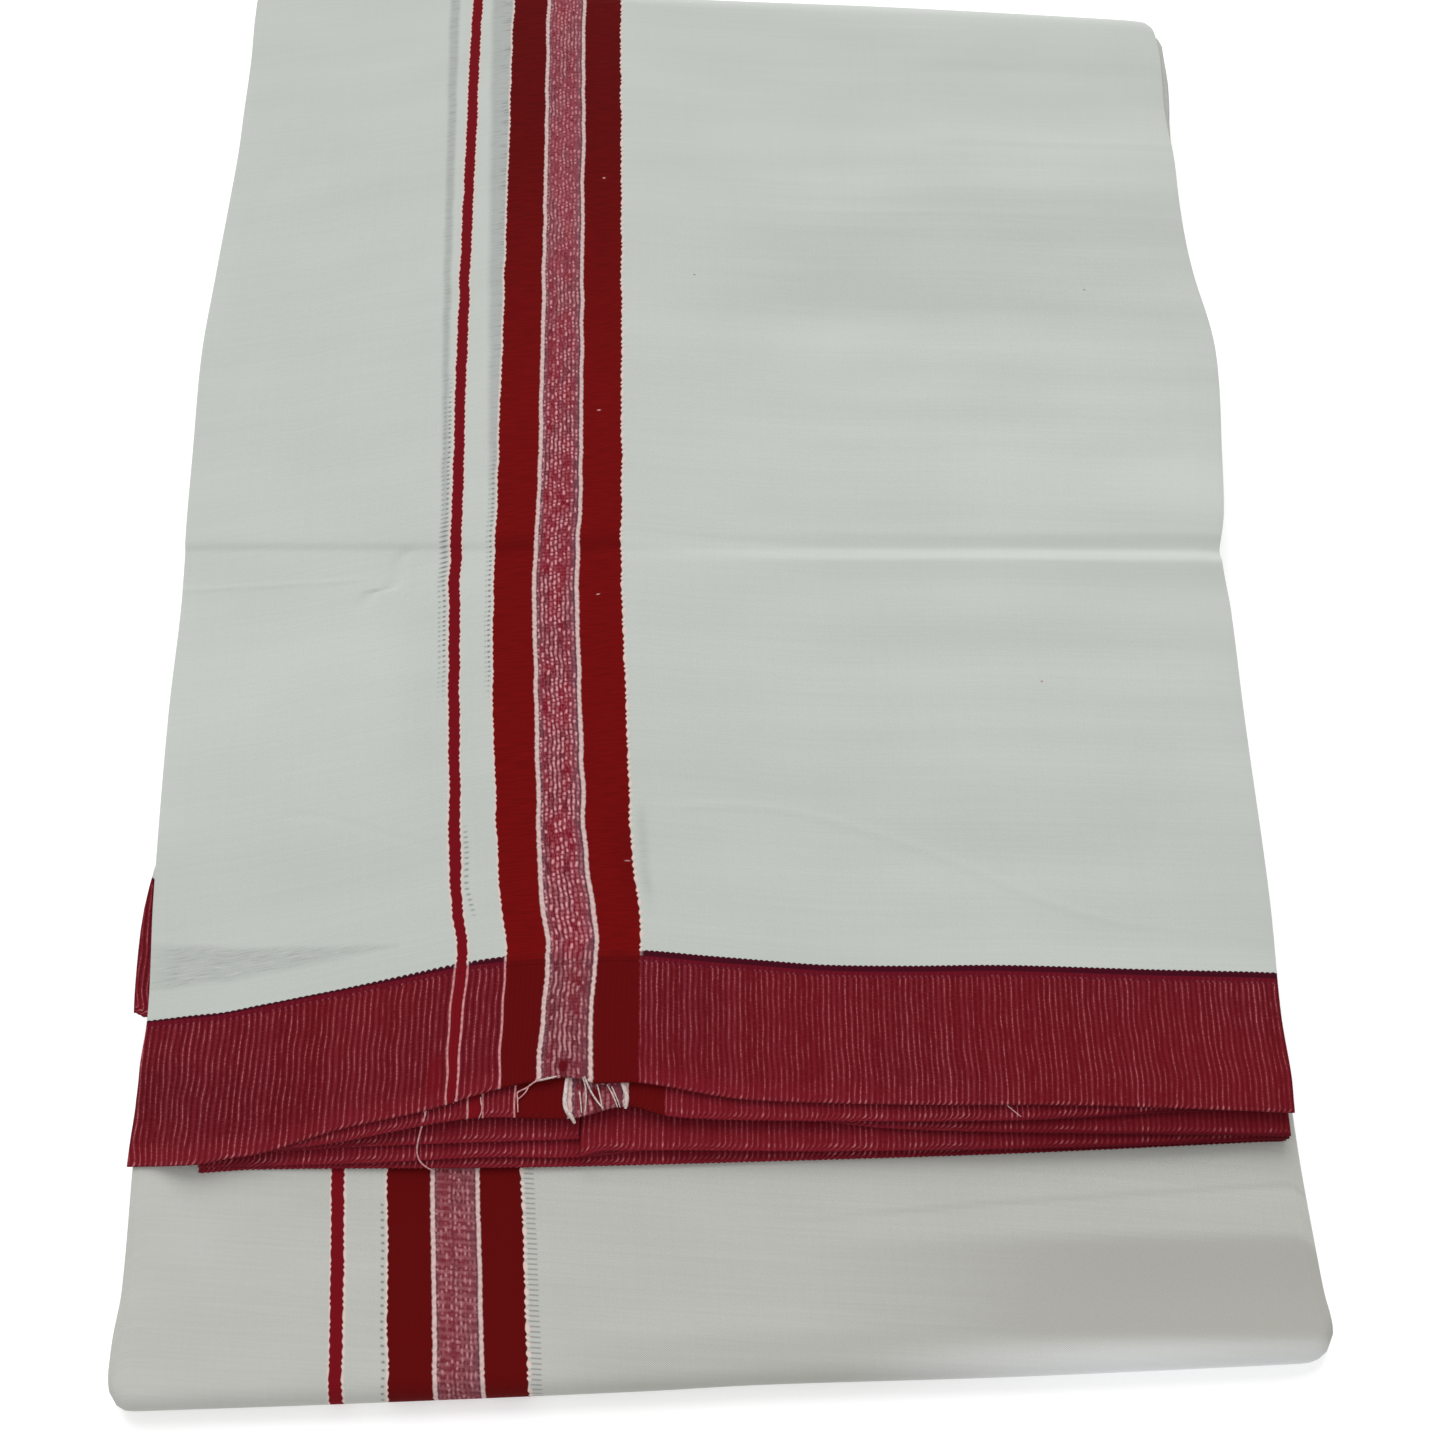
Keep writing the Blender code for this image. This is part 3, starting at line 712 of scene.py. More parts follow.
def woven_border(across, along, ground, height):
    """The border over a ground: a thin stripe, then red, a cord, the pattern, a cord and red."""
    in_band = along.fall(35.6, 36.2)
    uneven_along = along + along.wave(7.3) * 0.45 + along.wave(4.7) * 0.25
    beads = uneven_along.wave(2.1)
    scalloped = across + beads * 0.14

    # Creamy weft turns back beside the red in small beads
    left_edge = across.near(-0.25, 0.58).most(across.near(12.95, 0.58)) * (0.85 - beads * 0.35)
    right_edge = across.near(3.45, 0.58) * (0.85 + beads * 0.35)
    wide_edge = across.near(51.25, 0.95) * (beads * 0.9 + 0.75).most(0.15)
    edge = left_edge.most(right_edge).most(wide_edge).capped() * (1 - in_band)
    colour = edge.mix(ground, CREAM)
    lines = across.near(-0.35, 0.42).most(across.near(3.55, 0.42)).most(across.near(12.85, 0.42))
    lines = (lines * 1.6).capped() * in_band * (0.82 + beads * 0.18)
    colour = lines.mix(colour, (0.60, 0.27, 0.275))

    thin = scalloped.between(0, 3.2, 0.14)
    red = scalloped.between(13.2, 24.8, 0.14).most((across + beads * 0.2).between(38.4, 51.0, 0.14))
    colour = thin.mix(colour, THIN_RED)
    weft = across.lumps(along, 6, 0.45, 3.9)
    far = along.step(190, 330)
    deep = (weft.step(0.2, 0.8) * 0.4 + far * 0.6).mix(CRIMSON, CRIMSON_FAR)
    deep = on_lower(along).mix(deep, CRIMSON_LOWER)
    deep = (in_band * 0.8).mix(deep, (0.098, 0.0014, 0.0021))
    # The reds are painted darker at the cross fold, as shade in its crease, and on the second red's right
    # part near the band
    creased = along.near(158, 5) * 0.3 + along.near(62, 26) * across.step(42, 50) * 0.25
    colour = red.mix(colour, creased.mix(deep, (0.085, 0.0012, 0.0015)))
    pattern, floats = stripe_pattern(across, along)
    middle = across.between(25.8, 37.4, 0.1)
    pattern = (on_lower(along) * 0.42).mix(pattern, (0.150, 0.040, 0.050))
    pattern = (in_band * 0.32).mix(pattern, (0.085, 0.020, 0.026))
    colour = middle.mix(colour, pattern)
    ticks = uneven_along.wave(1.35).step(-0.7, 0.6)
    gap = across.near(26.15, 0.45).most(across.near(37.1, 0.45)) * ticks
    colour = (gap * 0.85).mix(colour, (0.070, 0.030, 0.040))
    lump = (uneven_along * 1.3 + across * 0.4).wave(2.3) * 0.5 + 0.5
    corded = across + uneven_along.wave(2.9) * 0.08 + along.wave(1.7) * 0.05
    cords = corded.between(24.65, 25.85, 0.2).most(corded.between(37.4, 38.55, 0.2))
    colour = cords.mix(colour, lump.mix(CORD_SHADED, CORD))
    height = height + thin.most(red) * 0.06 + middle * floats + cords * (0.3 + lump * 0.03) + edge * 0.12

    # A worn hole in the pattern near the end, and single pale slubs caught in the red
    hole = across.near(31.1, 2.2) * along.near(3.8, 2.4)
    hole = hole + across.near(31.2, 1.2) * along.between(-1, 3, 0.4) * 0.5
    colour = (hole * 1.6).capped().mix(colour, (0.105, 0.0030, 0.0070))
    slub = across.near(43.9, 0.9) * along.near(203.6, 0.35) + across.near(45.1, 0.7) * along.near(290.3, 0.4)
    slub = slub + across.near(44.0, 0.8) * along.near(141.5, 0.3)
    slub = slub + across.near(49.6, 1.3) * along.near(60.4, 0.3) * 0.6
    return slub.capped().mix(colour, (0.72, 0.42, 0.42)), height


def open_weft(across, along, colour):
    """Strips beside the stripes where the warp has drawn apart, and dark dots and grey weft show through."""
    past = (along - 110).most(0)
    upper = along.fall(800, 820) * along.step(104, 118)

    # Ladders of small holes along the stripes' left edges and, on the lower cloth, beside the red
    even = (along + along.wave(17) * 0.3).wave(1.6).step(-0.1, 0.9)
    thin_ladder = across.near(-1.35, 0.8).most(across.near(-2.7, 0.75) * 0.55) * along.between(118, 215, 14)
    thin_ladder = thin_ladder.most(across.near(-1.7, 1.9) * along.between(150, 172, 5))
    red_ladder = across.near(11.9, 0.8).most(across.near(10.9, 0.7) * 0.35) * along.between(113, 190, 10)
    beyond = (57 - along).most(0) * 0.16
    right_ladder = (across - beyond).near(4.6, 1.0) * along.between(49, 73, 3) * 0.7
    low_dots = along.wave(1.9).step(0.1, 0.95) * across.near(12.0, 0.65) * along.step(1237, 1240) * 0.9
    low_ladder = across.between(51.7, 54.0, 0.3) * along.wave(1.25).step(0.1, 0.9) * on_lower(along) * 0.6
    holes = (thin_ladder.most(red_ladder) * upper).most(right_ladder) * even
    colour = (holes.most(low_dots).most(low_ladder) * 0.85).mix(colour, (0.135, 0.130, 0.130))

    # Sheer grey strips that widen with distance from the end
    left, right = across + 0.9 + past * 0.0265, across + past * 0.0168 + 0.1
    beside_thin = left.step(-0.9, 0.9) * right.fall(-0.9, 0.7) * along.step(125, 185)
    reach = (past / 280).power(0.75) * 7.4
    beside_red = (across - 13.2 + reach).step(-1.0, 1.4) * (across - 12.7).fall(-0.1, 0.4)
    beside_red = beside_red * along.step(150, 200)
    threads = across.lumps(along, 4.2, 0.34, 2.6, 1)
    fringe = (across - 13.0 + reach * 0.6).step(0, 3.4)
    smudge = across.near(54.2, 2.4) * along.between(50, 76, 6) * 0.5
    sheer = (beside_thin * 0.48).most(beside_red * 0.50) * upper + smudge * 0.4
    colour = (sheer * (0.75 + threads * 0.5)).mix(colour, (0.29, 0.30, 0.295))
    dark = (beside_thin * 0.35).most(beside_red * (0.2 + fringe * 0.8)).most(smudge * 0.5)
    dark = dark * threads.step(0.53, 0.72) * (upper + smudge)
    return (dark * 0.75).mix(colour, (0.150, 0.145, 0.140))


RIB = 1.49  # millimetres from rib to rib of an end band
PICOT_LINE = 36.1  # millimetres from the woven end to the tips of the band's dark scallops
PICOT = (0.050, 0.0024, 0.0090)


def scallops(across, along):
    """The scallops of the end band's upper edge: how far they rise, and 1 past them."""
    scallop = abs(across.wave(2 * RIB))
    return scallop, (along - PICOT_LINE - scallop * 0.3).step(0, 0.15)


def with_picots(across, along, colour, height):
    """The dark scallops of the end band's upper edge, which lie over the white."""
    picot = 1 - scallops(across, along)[1]
    return picot.mix(colour, PICOT), height + picot * 0.3


def edged_cotton(across, along):
    """White cotton just above the end band, with a slack, sheer wedge at the left."""
    colour, height, roughness = white_ground(across, along)
    wedge = (along - 44.3).step(-1.0, 1.8) * (along + across * 0.204 - 42.3).fall(-1.4, 0.8)
    wedge = wedge * across.step(-84, -68) * (1 - across.step(-62, -12) * 0.2) * across.fall(-10, -4)
    threads = across.lumps(along, 4.4, 0.3, 2.6, 1)
    colour = (wedge * (0.24 + threads * 0.2)).mix(colour, (0.30, 0.31, 0.305))
    colour = (wedge * threads.step(0.56, 0.74) * 0.24).mix(colour, (0.170, 0.165, 0.160))
    colour = (wedge * threads.fall(0.28, 0.42) * 0.3).mix(colour, (0.60, 0.59, 0.57))
    return *with_picots(across, along, colour, height), roughness


def bordered_cotton(across, along):
    """White cotton with the woven border and the open strips beside it."""
    colour, height, roughness = white_ground(across, along)
    colour = open_weft(across, along, colour)
    colour, height = with_picots(across, along, colour, height)
    return *woven_border(across, along, colour, height), roughness


edged = cloth_material("white cotton above the end band", edged_cotton)
bordered = cloth_material("white cotton with a woven border", bordered_cotton)


def beside_border(u):
    """Whether a measure across lies on the border or on the open strips beside it."""
    return -14 * MM < u < 58 * MM


def near_rows():
    """Rows over the lower stack, closer where they show, then round the near fold and back below it."""
    shown = same(-90 * MM)
    rows = stretch(shifted(far_fold, -6 * MM), shown, 40, bed, 90, LOWER_SIDES)[:-1]
    rows += stretch(shown, near_fold, 66, bed, 90, LOWER_SIDES)
    rows += turned(near_fold, bed, same(FLOOR_GAP), 90, 270, 15, lambda half: NEAR_NOSE, LOWER_SIDES)
    rows += stretch(near_fold, same(UNDER_NEAR), 12, same(FLOOR_GAP), 270, LOWER_SIDES)
    return rows


lower_cloth = lay_cloth(
    "lower_cloth",
    near_rows(),
    folded_threads(spread((0, 0.06, 9), (0.06, 0.17, 12), (0.17, 0.36, 60), (0.36, 0.9, 54), (0.9, 1, 13))),
    lambda x, y, length, j: (across_cloth(x, y, LOWER_SIDES, LOWER_BORDER), LOWER_START + length),
    [plain_cotton, bordered],
    lambda u, v: int(beside_border(u)),
)
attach(lower_cloth, "root")
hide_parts("near_panel")

# ---- Staggered woven ends
# The crosswise maroon ends of the plies below the top cloth, ribbed along the warp, each a ply folded under
# at its sides. They lie loose on one another, a few millimetres apart at their ends.

# A woven end's rolled hem from below, in millimetres: how far past the end each row lies, and how deep
HEM = ((1.6, 0.94), (0.5, 0.92), (0.12, 0.76), (0.3, 0.52), (0.06, 0.28), (0.2, 0.05), (0.6, 0))
HEM_LENGTH = 3.2 * MM  # along the cloth
TEETH = 0.3 * MM  # how far the ribs' ends stand out at a woven end
END_BACK = -88.65 * MM  # where the ends stop, under the top cloth
END_SIDES = in_mm(
    Side,
    (-172, -137.3, 152.4), (-150, -138.6, 152.2), (-134, -145.0, 152.0),
    (-88, -155.6, 152.6),
)
SECOND_END = in_mm(
    Edge,
    (-138, -167.0), (-102, -163.6), (-65, -157.3), (-38, -157.2), (-24, -154.2), (-12, -156.8),
    (12, -157.8), (78, -157.8), (125, -155.6), (152, -154.8),
)
THIRD_END = in_mm(Edge, (-22, -154.0), (20, -157.0), (45, -159.7), (80, -160.8), (152, -161.7))
FOURTH_LEFT_END = in_mm(Edge, (-138, -166.5), (-102, -164.7), (-76, -163.7), (-36, -162.4))
FOURTH_RIGHT_END = in_mm(Edge, (-36, -166.9), (-29, -165.4), (33, -165.5), (100, -164.4), (152, -162.3))
FIFTH_END = in_mm(
    Edge,
    (-138, -169.6), (-90, -168.4), (-60, -167.0), (-36, -167.0), (-10, -164.6), (152, -161.8),
)
SIXTH_END = in_mm(
    Edge,
    (-138, -171.0), (-122, -170.0), (-51, -169.5), (12, -168.0), (78, -166.0), (152, -162.7),
)
FLAP_SIDES = in_mm(
    Side,
    (-134, -157.1, -22.6), (-130, -158.4, -22.6), (-112, -159.4, -22.6),
    (-100, -159.2, -22.6), (-88, -157.6, -22.6),
)
FLAP_END = in_mm(Edge, (-158, -129.3), (-155, -130.6), (-22, -131.0))
SECOND_BORDER = in_mm(Border, (-150, -65.6, -62.2, -53.1, -39.6, -23.2, -13.6))


def cut(sides, left=-1, right=1):
    """The same side limits, kept to the right of one place and to the left of another."""
    return tuple(Side(row.along, max(row.left, left), min(row.right, right)) for row in sides)


def settled(x, y):
    """Share of their pitch that the loose ends keep: near the left end corner they sag together."""
    return 1 - 0.45 * rise(-x, 72, 50) * rise(-y, 142, 22)


def end_rows(edge, face, sides, back, shares, teeth=0):
    """A hem's rolled rows, then rows at shares of the way from the woven end to a line behind it."""

    def row(out, down, share=0):
        def along(x, y):
            start = through(edge, x, "along") + teeth * (0.75 - abs(math.sin(math.pi * x / (RIB * MM))))
            return start + out * MM + share * (back(x, y) - start)

        return Row(along, lambda x, y: face(x, y) - down * MM, 90, sides)

    return [row(out, down) for out, down in HEM] + [row(0.6 * (1 - t), 0, t) for t in shares]


MAROON_DARK, MAROON, MAROON_PALE = (0.088, 0.0024, 0.0060), (0.134, 0.0050, 0.0100), (0.168, 0.0125, 0.0215)
PINK_THREAD, LOOP = (0.49, 0.145, 0.165), (0.50, 0.18, 0.19)


def ribbed_end(across, along, faint=0):
    """Maroon ribs along the warp, each with a broken pink thread that hooks aside at the woven end."""
    rough_edge = across.wave(23) * 0.3 + across.wave(9.1) * 0.25
    hook = (1 - along / (1.4 + rough_edge)).most(0).power(2) * (0.5 + across.wave(31) * 0.4)
    sway = across.wave(17) * along.wave(13) + (across + 7).wave(5.3) * (along + 3).wave(8.1)
    flare = (across * -1 - 20).step(0, 60) * (along - 18) * 0.03 * along.fall(36, 40)
    kink = across.fall(-82, -58) * along.fall(1, 7)
    ribs = (across + hook * (kink + 1) + sway * 0.06 + flare - kink) / RIB
    beside = abs(ribs.part() - 0.5)
    strong = ribs.chance(ribs * 0, 3.3)
    one_rib = ribs.whole() * 3.7
    broken = one_rib.lumps(along, 1, 5, 5.1).step(0.38, 0.62)
    dots = one_rib.lumps(along, 1, 0.42, 4.2).step(0.32, 0.68)
    fleck = across.lumps(along, 1.5, 0.3, 7.9)
    level = across.lumps(along, 45, 30, 2.4)
    body = beside.fall(0.16, 0.5)
    plum = ribs.chance(ribs * 0, 6.1).mix(MAROON, MAROON_PALE)
    colour = body.mix(MAROON_DARK, plum)
    colour = (fleck.step(0.52, 0.8) * 0.3).mix(colour, (0.235, 0.030, 0.042))
    thread = beside.fall(0.03, 0.14) * (0.02 + strong.power(3) * 0.42 + broken * 0.42) * (0.3 + dots * 0.85)
    # Near the woven end the ribs and threads are lighter, less so to the right: partly their own paler ends,
    # partly painted light
    at_end = along.fall(1.5, 7) * across.fall(60, 180)
    thread = (thread + thread * at_end * 0.4) * (1 - faint)
    colour = thread.capped().mix(colour, PINK_THREAD)
    colour = (level.step(0.25, 0.75) * 0.3).mix(colour, (0.160, 0.0030, 0.0080))
    colour = (at_end * 0.25).mix(colour, (0.230, 0.0120, 0.0240))

    # The plain edge below the picots, their dark scallops, and bright loops at the woven end
    top = along.step(34.0, 34.5)
    dots = across.wave(RIB).step(0.1, 0.8) * along.near(34.4, 0.4) * strong
    colour = (top * 0.85).mix(colour, (0.115, 0.0030, 0.0110))
    scallop, past = scallops(across, along)
    colour = (along + scallop * 0.2 - 35.75).step(0, 0.25).mix(colour, PICOT)
    colour = (dots * 0.55).mix(colour, (0.42, 0.11, 0.13))
    loops = along.near(0.6, 0.8) * beside.fall(0.06, 0.24) * (strong.step(0.5, 0.95) * 0.65 + 0.1)
    colour = loops.mix(colour, LOOP)
    # Painted light and shade on the hem under the woven end: lighter at the left and middle, darker at the
    # right
    right = across.step(110, 185)
    hem = right.mix((0.195, 0.0100, 0.0195), (0.088, 0.0030, 0.0080))
    below = along.fall(-0.35, 0.05) * (right * 0.45 + 0.5)
    colour = below.mix(colour, hem)
    height = body * (1 - top) * 0.13 + top * (scallop * 0.15 + 0.1) + loops * 0.08
    colour = past.mix(colour, (0.50, 0.528, 0.494))
    return colour, height, 0.85


def lower_end(across, along):
    """The same ribs on the ends below, fainter and flatter at the right, with painted shade there."""
    across = across - (PLAIN_START * 1000 - 70)
    # Painted shade at the right: darker ribs and fainter threads where the ends below lie in shade
    right = across.step(95, 160)
    colour, height, roughness = ribbed_end(across, along, right * 0.6)
    return (right * 0.35).mix(colour, (0.096, 0.0028, 0.0070)), height, roughness


def bordered_end(across, along):
    """An end band with the border woven through it."""
    colour, height, roughness = ribbed_end(across, along)
    bare = across.between(-5.3, -1.9, 0.5) * along.between(4, 13, 2) * 0.8
    colour = bare.mix(colour, (0.150, 0.0035, 0.0095))
    return *woven_border(across, along, colour, height), roughness


maroon = cloth_material("maroon ribbed end", ribbed_end)
lower_maroon = cloth_material("maroon ribbed end below", lower_end)
maroon_border = cloth_material("maroon ribbed end with the border", bordered_end)


def in_border(u):
    """Whether a measure across lies on the border within an end band."""
    return -9 * MM < u < 53 * MM


End = namedtuple("End", "name level edge sides border")
for end in (
    End("sixth_end", 1, SIXTH_END, END_SIDES, None),
    End("fifth_end", 2, FIFTH_END, END_SIDES, None),
    End("fourth_end_left", 3, FOURTH_LEFT_END, cut(END_SIDES, right=-36.3 * MM), None),
    End("fourth_end_right", 3, FOURTH_RIGHT_END, cut(END_SIDES, left=-36 * MM), None),
    End("left_flap", 4, FLAP_END, FLAP_SIDES, None),
    End("third_end", 4, THIRD_END, cut(END_SIDES, left=-22.3 * MM), None),
    End("second_end", 5, SECOND_END, END_SIDES, SECOND_BORDER),
):

    def end_face(x, y, end=end):
        return bed(x, y) + (end.level * settled(x, y) + 0.04 * uneven(x, y, 25 * MM, end.level)) * PITCH

    left, right = limits(end.sides, -120 * MM)
    width = right - left
    ribs = round(width / (RIB * MM))
    shares = [0.02, 0.06, 0.12, 0.2, 0.3, 0.42, 0.55, 0.7, 0.85, 1]
    piece = lay_cloth(
        end.name + "_ply",
        end_rows(end.edge, end_face, end.sides, same(END_BACK), shares, TEETH),
        folded_threads(spread((0, 0.01, 4), (0.01, 0.99, ribs * 3), (0.99, 1, 4))),
        lambda x, y, length, j, end=end: (across_cloth(x, y, end.sides, end.border), length - HEM_LENGTH),
        [maroon if end.border else lower_maroon, maroon_border],
        lambda u, v: int(in_border(u)),
    )
    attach(piece, "root")
    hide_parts(end.name)
    depth = END_BACK - sum(edge.along for edge in end.edge) / len(end.edge)
    round(width + 18 * MM, 3)
    round(depth + 3 * MM, 3)

# ---- Top cloth
# The outermost ply, white cotton with its border and its maroon end band. It lies over the whole upper stack
# with an old cross fold, turns round the far fold and is tucked in below.

TOP_END = in_mm(
    Edge,
    (-154, -169.3), (-137, -168.9), (-129, -167.4), (-120, -166.0), (-100, -160.2), (-77, -155.4),
    (-57, -149.6), (-40, -146.8), (-32, -148.2), (-20, -148.2), (1, -151.7), (12, -152.8),
    (50, -153.8), (97, -154.0), (152, -155.8),
)
BAND_TOP = in_mm(
    Edge,
    (-153.1, -132.1), (-142, -131), (-134, -130.2), (-125, -128.5), (-112, -125.8), (-98, -123.1),
    (-85, -120.5), (-71, -117.6), (-57.4, -115.8), (-40, -114.7), (-21.1, -114.2), (-3.4, -115.7),
    (13, -117), (29, -118.2), (51, -118.5), (78, -118.3), (119, -119.5), (151.6, -120.2),
)
TOP_BORDER = in_mm(
    Border,
    (-149.0, -71.0, -69.1, -57.1, -48.1, -32.5, -20.5),
    (-128.0, -71.2, -68.5, -57.1, -47.1, -33.0, -20.8),
    (-112.0, -70.7, -68.0, -57.2, -46.6, -32.1, -21.1),
    (-103.2, -72.5, -69.7, -58.8, -48.2, -32.9, -21.0),
    (-86.0, -74.4, -71.3, -60.9, -50.0, -35.8, -23.6),
    (-40.5, -77.4, -74.2, -64.6, -52.6, -38.9, -26.2),
    (-2.0, -79.4, -76.1, -66.2, -54.8, -40.8, -28.3),
    (26.0, -80.1, -76.9, -66.4, -54.4, -40.7, -28.9),
    (94.4, -82.1, -78.9, -67.8, -55.8, -42.3, -30.4),
    (215.1, -84.2, -80.9, -69.9, -58.6, -45.2, -33.3),
)
BAND_DEPTH = 36 * MM
BAND_SHARES = [0.03, 0.07] + [0.12 + 0.055 * k for k in range(17)]
TOP_LEVEL = END_LEVELS + 1

CURVED_CREASE = in_mm(
    Edge,
    (-14, -72), (12.6, -72.7), (30, -75.9), (54.7, -83.7), (74.3, -92), (91, -99.5),
    (112.8, -105.6), (152, -109.5),
)
LEFT_CREASE = in_mm(Edge, (-150, -5.7), (-104, -2.8))
LOW_CREASE = in_mm(Edge, (-119.6, -74.9), (-109, -75.8), (-93.2, -80.3), (-77.3, -84.9))

Dent = namedtuple("Dent", "along across")
HOOKED_DENT = in_mm(
    Dent,
    (-11.5, -105.4), (-8.5, -103.5), (-6.4, -101.4), (-6.0, -98.0), (-3.5, -95.5), (2.8, -94.9),
    (7.2, -92.6),
)


def creased(x, y):
    """How far the fine creases raise the cloth, and the hooked dent below the cross fold lowers it."""
    curved = hump(y - through(CURVED_CREASE, x, "along"), 0.9)
    curved *= rise(x, -16, 12) * (1 - 0.5 * rise(x, 95, 30))
    short = hump(y - through(LEFT_CREASE, x, "along"), 0.7)
    short *= 1 - rise(x, -112, 10)
    low = hump(y - through(LOW_CREASE, x, "along"), 0.8)
    low *= rise(x, -123, 5) * (1 - rise(x, -84, 6))
    dent = hump(x - through(HOOKED_DENT, y, "across"), 1.5)
    dent *= rise(y, -14, 4) * (1 - rise(y, 5, 4))
    return (0.17 * curved + 0.13 * short - 0.1 * low - 0.5 * dent) * MM


def top_face(x, y):
    """Outer side of the top cloth, whose left end corner droops past the plies below it."""
    droop = 3.3 * MM * rise(-x, 138.5, 13) * rise(-y, 138, 21)
    droop += TOP_LEVEL * PITCH * (1 - settled(x, y))
    return stack_top(x, y) + PITCH + creased(x, y) - droop


def band_top(x, y):
    """y of the end band's upper edge."""
    return through(BAND_TOP, x, "along")


def top_rows():
    """Rows of the end band, over the bundle, closest at its creases, and round the far fold to below it."""

    def body(back):
        def along(x, y):
            at_band = max(1 - (back - 38 * MM) / (60 * MM), 0) ** 2 * (band_top(x, y) + 117 * MM)
            at_fold = rise(back, 240, 120) * (far_fold(x, y) - 205 * MM)
            return -155 * MM + back + at_band + at_fold

        return Row(along, top_face, 90, TOP_SIDES)

    rows = end_rows(TOP_END, top_face, TOP_SIDES, band_top, BAND_SHARES)
    back = 39.0
    while back < 359.9:
        rows.append(body(back * MM))
        back += 0.6 if 147 < back < 170 else 0.9 if 44 < back < 85 else 2.0
    rows.append(body(360 * MM))
    rows += turned(far_fold, top_face, same(FLOOR_GAP), 90, -90, 21, lambda half: FAR_NOSE, TOP_SIDES)
    rows += stretch(far_fold, same(UNDER_FAR), 14, same(FLOOR_GAP), -90, TOP_SIDES)
    return rows


def top_measure(x, y, length, j):
    """The band keeps its woven depth wherever its upper edge runs, and the white goes on from there."""
    start, top = through(TOP_END, x, "along"), band_top(x, y)
    if j < len(HEM) + len(BAND_SHARES):
        along = BAND_DEPTH * (y - start) / (top - start)
    else:
        along = length - HEM_LENGTH + BAND_DEPTH - (top - start)
        along -= 1.2 * MM * ease((along - BAND_DEPTH) / (40 * MM)) * rise(x, -100, 60)
    return across_cloth(x, y, TOP_SIDES, TOP_BORDER), along


def top_pick(u, v):
    """Which of the top cloth's materials a face takes, from its measures across and along."""
    if v < BAND_DEPTH:
        return 4 if in_border(u) else 3
    if beside_border(u):
        return 2
    return int(v < BAND_DEPTH + (24 if u < 0 else 4) * MM)


top_shares = spread((0, 0.05, 10), (0.05, 0.23, 40), (0.23, 0.45, 66), (0.45, 0.94, 84), (0.94, 1, 10))
top_cloth = lay_cloth(
    "top_cloth",
    top_rows(),
    folded_threads(top_shares),
    top_measure,
    [plain_cotton, edged, bordered, maroon, maroon_border],
    top_pick,
)
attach(top_cloth, "root")
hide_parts("top_panel")

# ---- Loose yarns
# Yarns that have worked free at the woven ends, pink and white cotton, softly twisted. They lie where they
# fell over the steps of the ends, and the second end's two cords stick out past their ply and curl.

Yarn = namedtuple("Yarn", "radius points")
PINK_YARNS = (
    Yarn(0.22, ((-75.6, -153.9, 15.0), (-75.5, -155.7, 14.8), (-77.0, -159.8, 13.3), (-78.3, -164.9, 11.0),
        (-77.5, -167.6, 10.4), (-75.8, -169.2, 9.4), (-73.6, -170.4, 8.1))),
    Yarn(0.16, ((-76.6, -154.2, 15.1), (-75.9, -155.4, 14.9), (-75.7, -156.4, 14.6))),
    Yarn(0.20, ((-45.8, -147.2, 16.1), (-47.4, -147.8, 15.4), (-49.2, -149.2, 14.8), (-51.0, -150.0, 14.7),
        (-51.8, -150.4, 14.7), (-51.5, -152.4, 14.7), (-51.3, -155.5, 14.7))),
    Yarn(0.18, ((-48.7, -148.8, 14.9), (-49.2, -150.0, 14.8), (-50.3, -151.3, 14.8),
        (-51.6, -152.2, 14.8))),
    Yarn(0.20, ((-61.3, -151.6, 14.7), (-61.3, -152.8, 14.7), (-60.5, -154.8, 14.7),
        (-61.6, -157.0, 14.5))),
    Yarn(0.18, ((-67.2, -150.6, 16.0), (-67.3, -151.6, 15.9), (-68.5, -153.2, 15.2))),
    Yarn(0.17, ((77.6, -153.2, 14.9), (79.6, -155.1, 14.9), (81.6, -156.6, 14.7))),
)
WHITE_YARNS = (
    Yarn(0.62, ((-38.4, -145.4, 14.3), (-38.8, -149.7, 14.8), (-39.1, -153.2, 14.8), (-38.3, -155.4, 14.7),
        (-37.0, -156.6, 14.4), (-36.3, -158.2, 13.7))),
    Yarn(0.60, ((-23.9, -147.6, 14.5), (-22.8, -150.5, 14.8), (-22.4, -152.4, 14.8),
        (-22.9, -154.5, 14.4))),
    Yarn(0.26, ((-33.9, -146.4, 16.1), (-32.9, -148.6, 15.3), (-32.0, -150.5, 14.65),
        (-30.1, -153.2, 14.6), (-28.8, -154.4, 14.5))),
    Yarn(0.20, ((-34.3, -146.6, 16.0), (-33.7, -148.3, 15.2), (-33.5, -149.9, 14.6),
        (-33.3, -152.3, 14.55), (-33.6, -155.3, 14.5))),
    Yarn(0.22, ((-35.2, -150.2, 14.5), (-34.9, -151.6, 14.55), (-34.5, -155.6, 14.5))),
    Yarn(0.20, ((-30.6, -148.2, 14.5), (-29.6, -151.4, 14.55), (-29.0, -154.6, 14.45))),
    Yarn(0.18, ((-27.9, -148.3, 14.5), (-26.6, -150.5, 14.55), (-25.7, -152.3, 14.55),
        (-25.0, -154.2, 14.5))),
    Yarn(0.18, ((-26.7, -148.8, 14.5), (-25.6, -150.9, 14.55), (-24.3, -154.2, 14.5))),
    Yarn(0.26, ((-46.9, -147.5, 15.5), (-45.2, -147.2, 15.8), (-43.2, -146.8, 15.9),
        (-41.2, -146.3, 15.9))),
)


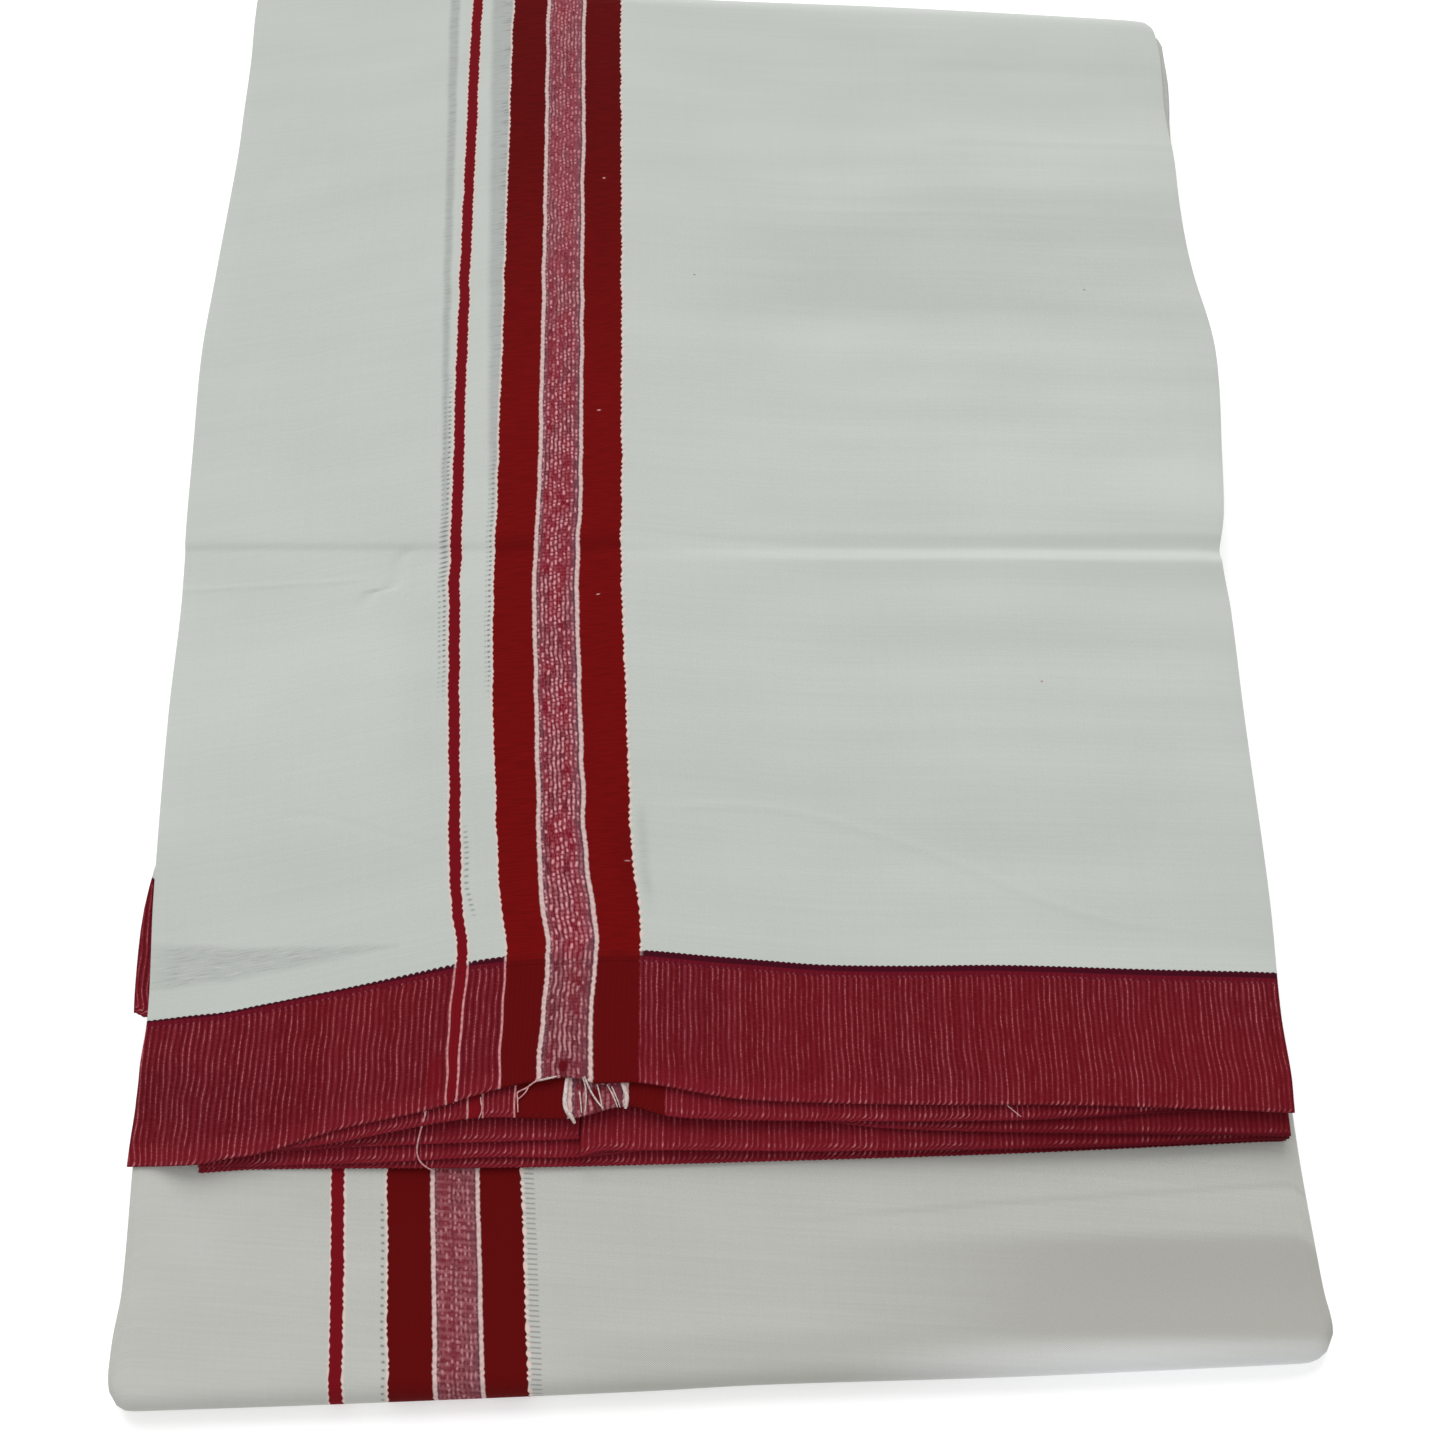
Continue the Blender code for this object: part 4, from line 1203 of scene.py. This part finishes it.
def yarn_cotton(name, dark, pale):
    """Twisted cotton yarn, in soft lumps."""
    made, tree, shader = new_material(name, Roughness=0.9, Specular_IOR_Level=0.08)
    place_on = Field(tree, tree.nodes.new("ShaderNodeTexCoord").outputs["Object"])
    lump = Field(tree, place_on.node("TexNoise", Vector=place_on, Scale=1400, Detail=1).outputs[0])
    wire(tree, shader.inputs["Base Color"], lump.step(0.3, 0.7).mix(dark, pale))
    bump = place_on.node("Bump", Strength=0.6, Distance=0.15 * MM, Height=lump)
    tree.links.new(bump.outputs[0], shader.inputs["Normal"])
    return made


def spin_yarns(name, yarns, material):
    """Round yarns along smooth lines through their points, as one mesh."""
    line = bpy.data.curves.new(name, "CURVE")
    line.dimensions, line.bevel_depth, line.bevel_resolution, line.use_fill_caps = "3D", MM, 2, True
    for yarn in yarns:
        spline = line.splines.new("NURBS")
        spline.points.add(len(yarn.points) - 1)
        spline.order_u, spline.use_endpoint_u, spline.resolution_u = 3, True, 6
        for k, (point, spot) in enumerate(zip(spline.points, yarn.points)):
            point.co = (*(Vector(spot) * MM), 1)
            point.radius = yarn.radius * (0.6 if k == len(yarn.points) - 1 else 1)
    drawn = bpy.data.objects.new(name, line)
    mesh = bpy.data.meshes.new_from_object(drawn)
    bpy.data.objects.remove(drawn)
    bpy.data.curves.remove(line)
    mesh.materials.clear()
    mesh.materials.append(material)
    piece = put(name, mesh)
    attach(piece, "root")


pink_cotton = yarn_cotton("pink yarn", (0.46, 0.190, 0.205), (0.66, 0.370, 0.375))
spin_yarns("loose_pink_yarns", PINK_YARNS, pink_cotton)
white_cotton = yarn_cotton("white yarn", (0.47, 0.360, 0.340), (0.66, 0.560, 0.530))
spin_yarns("loose_white_yarns", WHITE_YARNS, white_cotton)

# ---- Floor, light and camera
# A plain pale floor and soft light from all round, stronger from beyond the far fold. The camera looks down
# at the bundle from above its near part.

paper = new_material(
    "pale floor",
    Base_Color=(0.95, 0.95, 0.95, 1),
    Roughness=1,
    Specular_IOR_Level=0,
    Emission_Color=(1, 1, 1, 1),
    Emission_Strength=0.23,
)[0]
floor_shape = bmesh.new()
bmesh.ops.create_grid(floor_shape, x_segments=1, y_segments=1, size=3)
floor = finished("floor", floor_shape, [paper])

world = bpy.data.worlds.new("soft studio")
world.use_nodes = True
sky = world.node_tree.nodes["Background"].inputs
sky["Color"].default_value = (1, 1, 1, 1)
sky["Strength"].default_value = 0.72
scene.world = world
scene.view_settings.view_transform = "Standard"

sun = bpy.data.lights.new("window", "SUN")
sun.energy = 1.77
sun.angle = math.radians(40)
lamp = put("window", sun)
lamp.rotation_euler = Euler((math.radians(-52), 0, math.radians(8)))

camera_data = bpy.data.cameras.new("camera")
camera_data.lens, camera_data.sensor_width = 36.05, 36
camera = put("camera", camera_data)
camera.location = (0.00211, -0.17738, 0.409)
camera.rotation_euler = Euler((math.radians(18.4), 0, 0))
bpy.context.scene.camera = camera
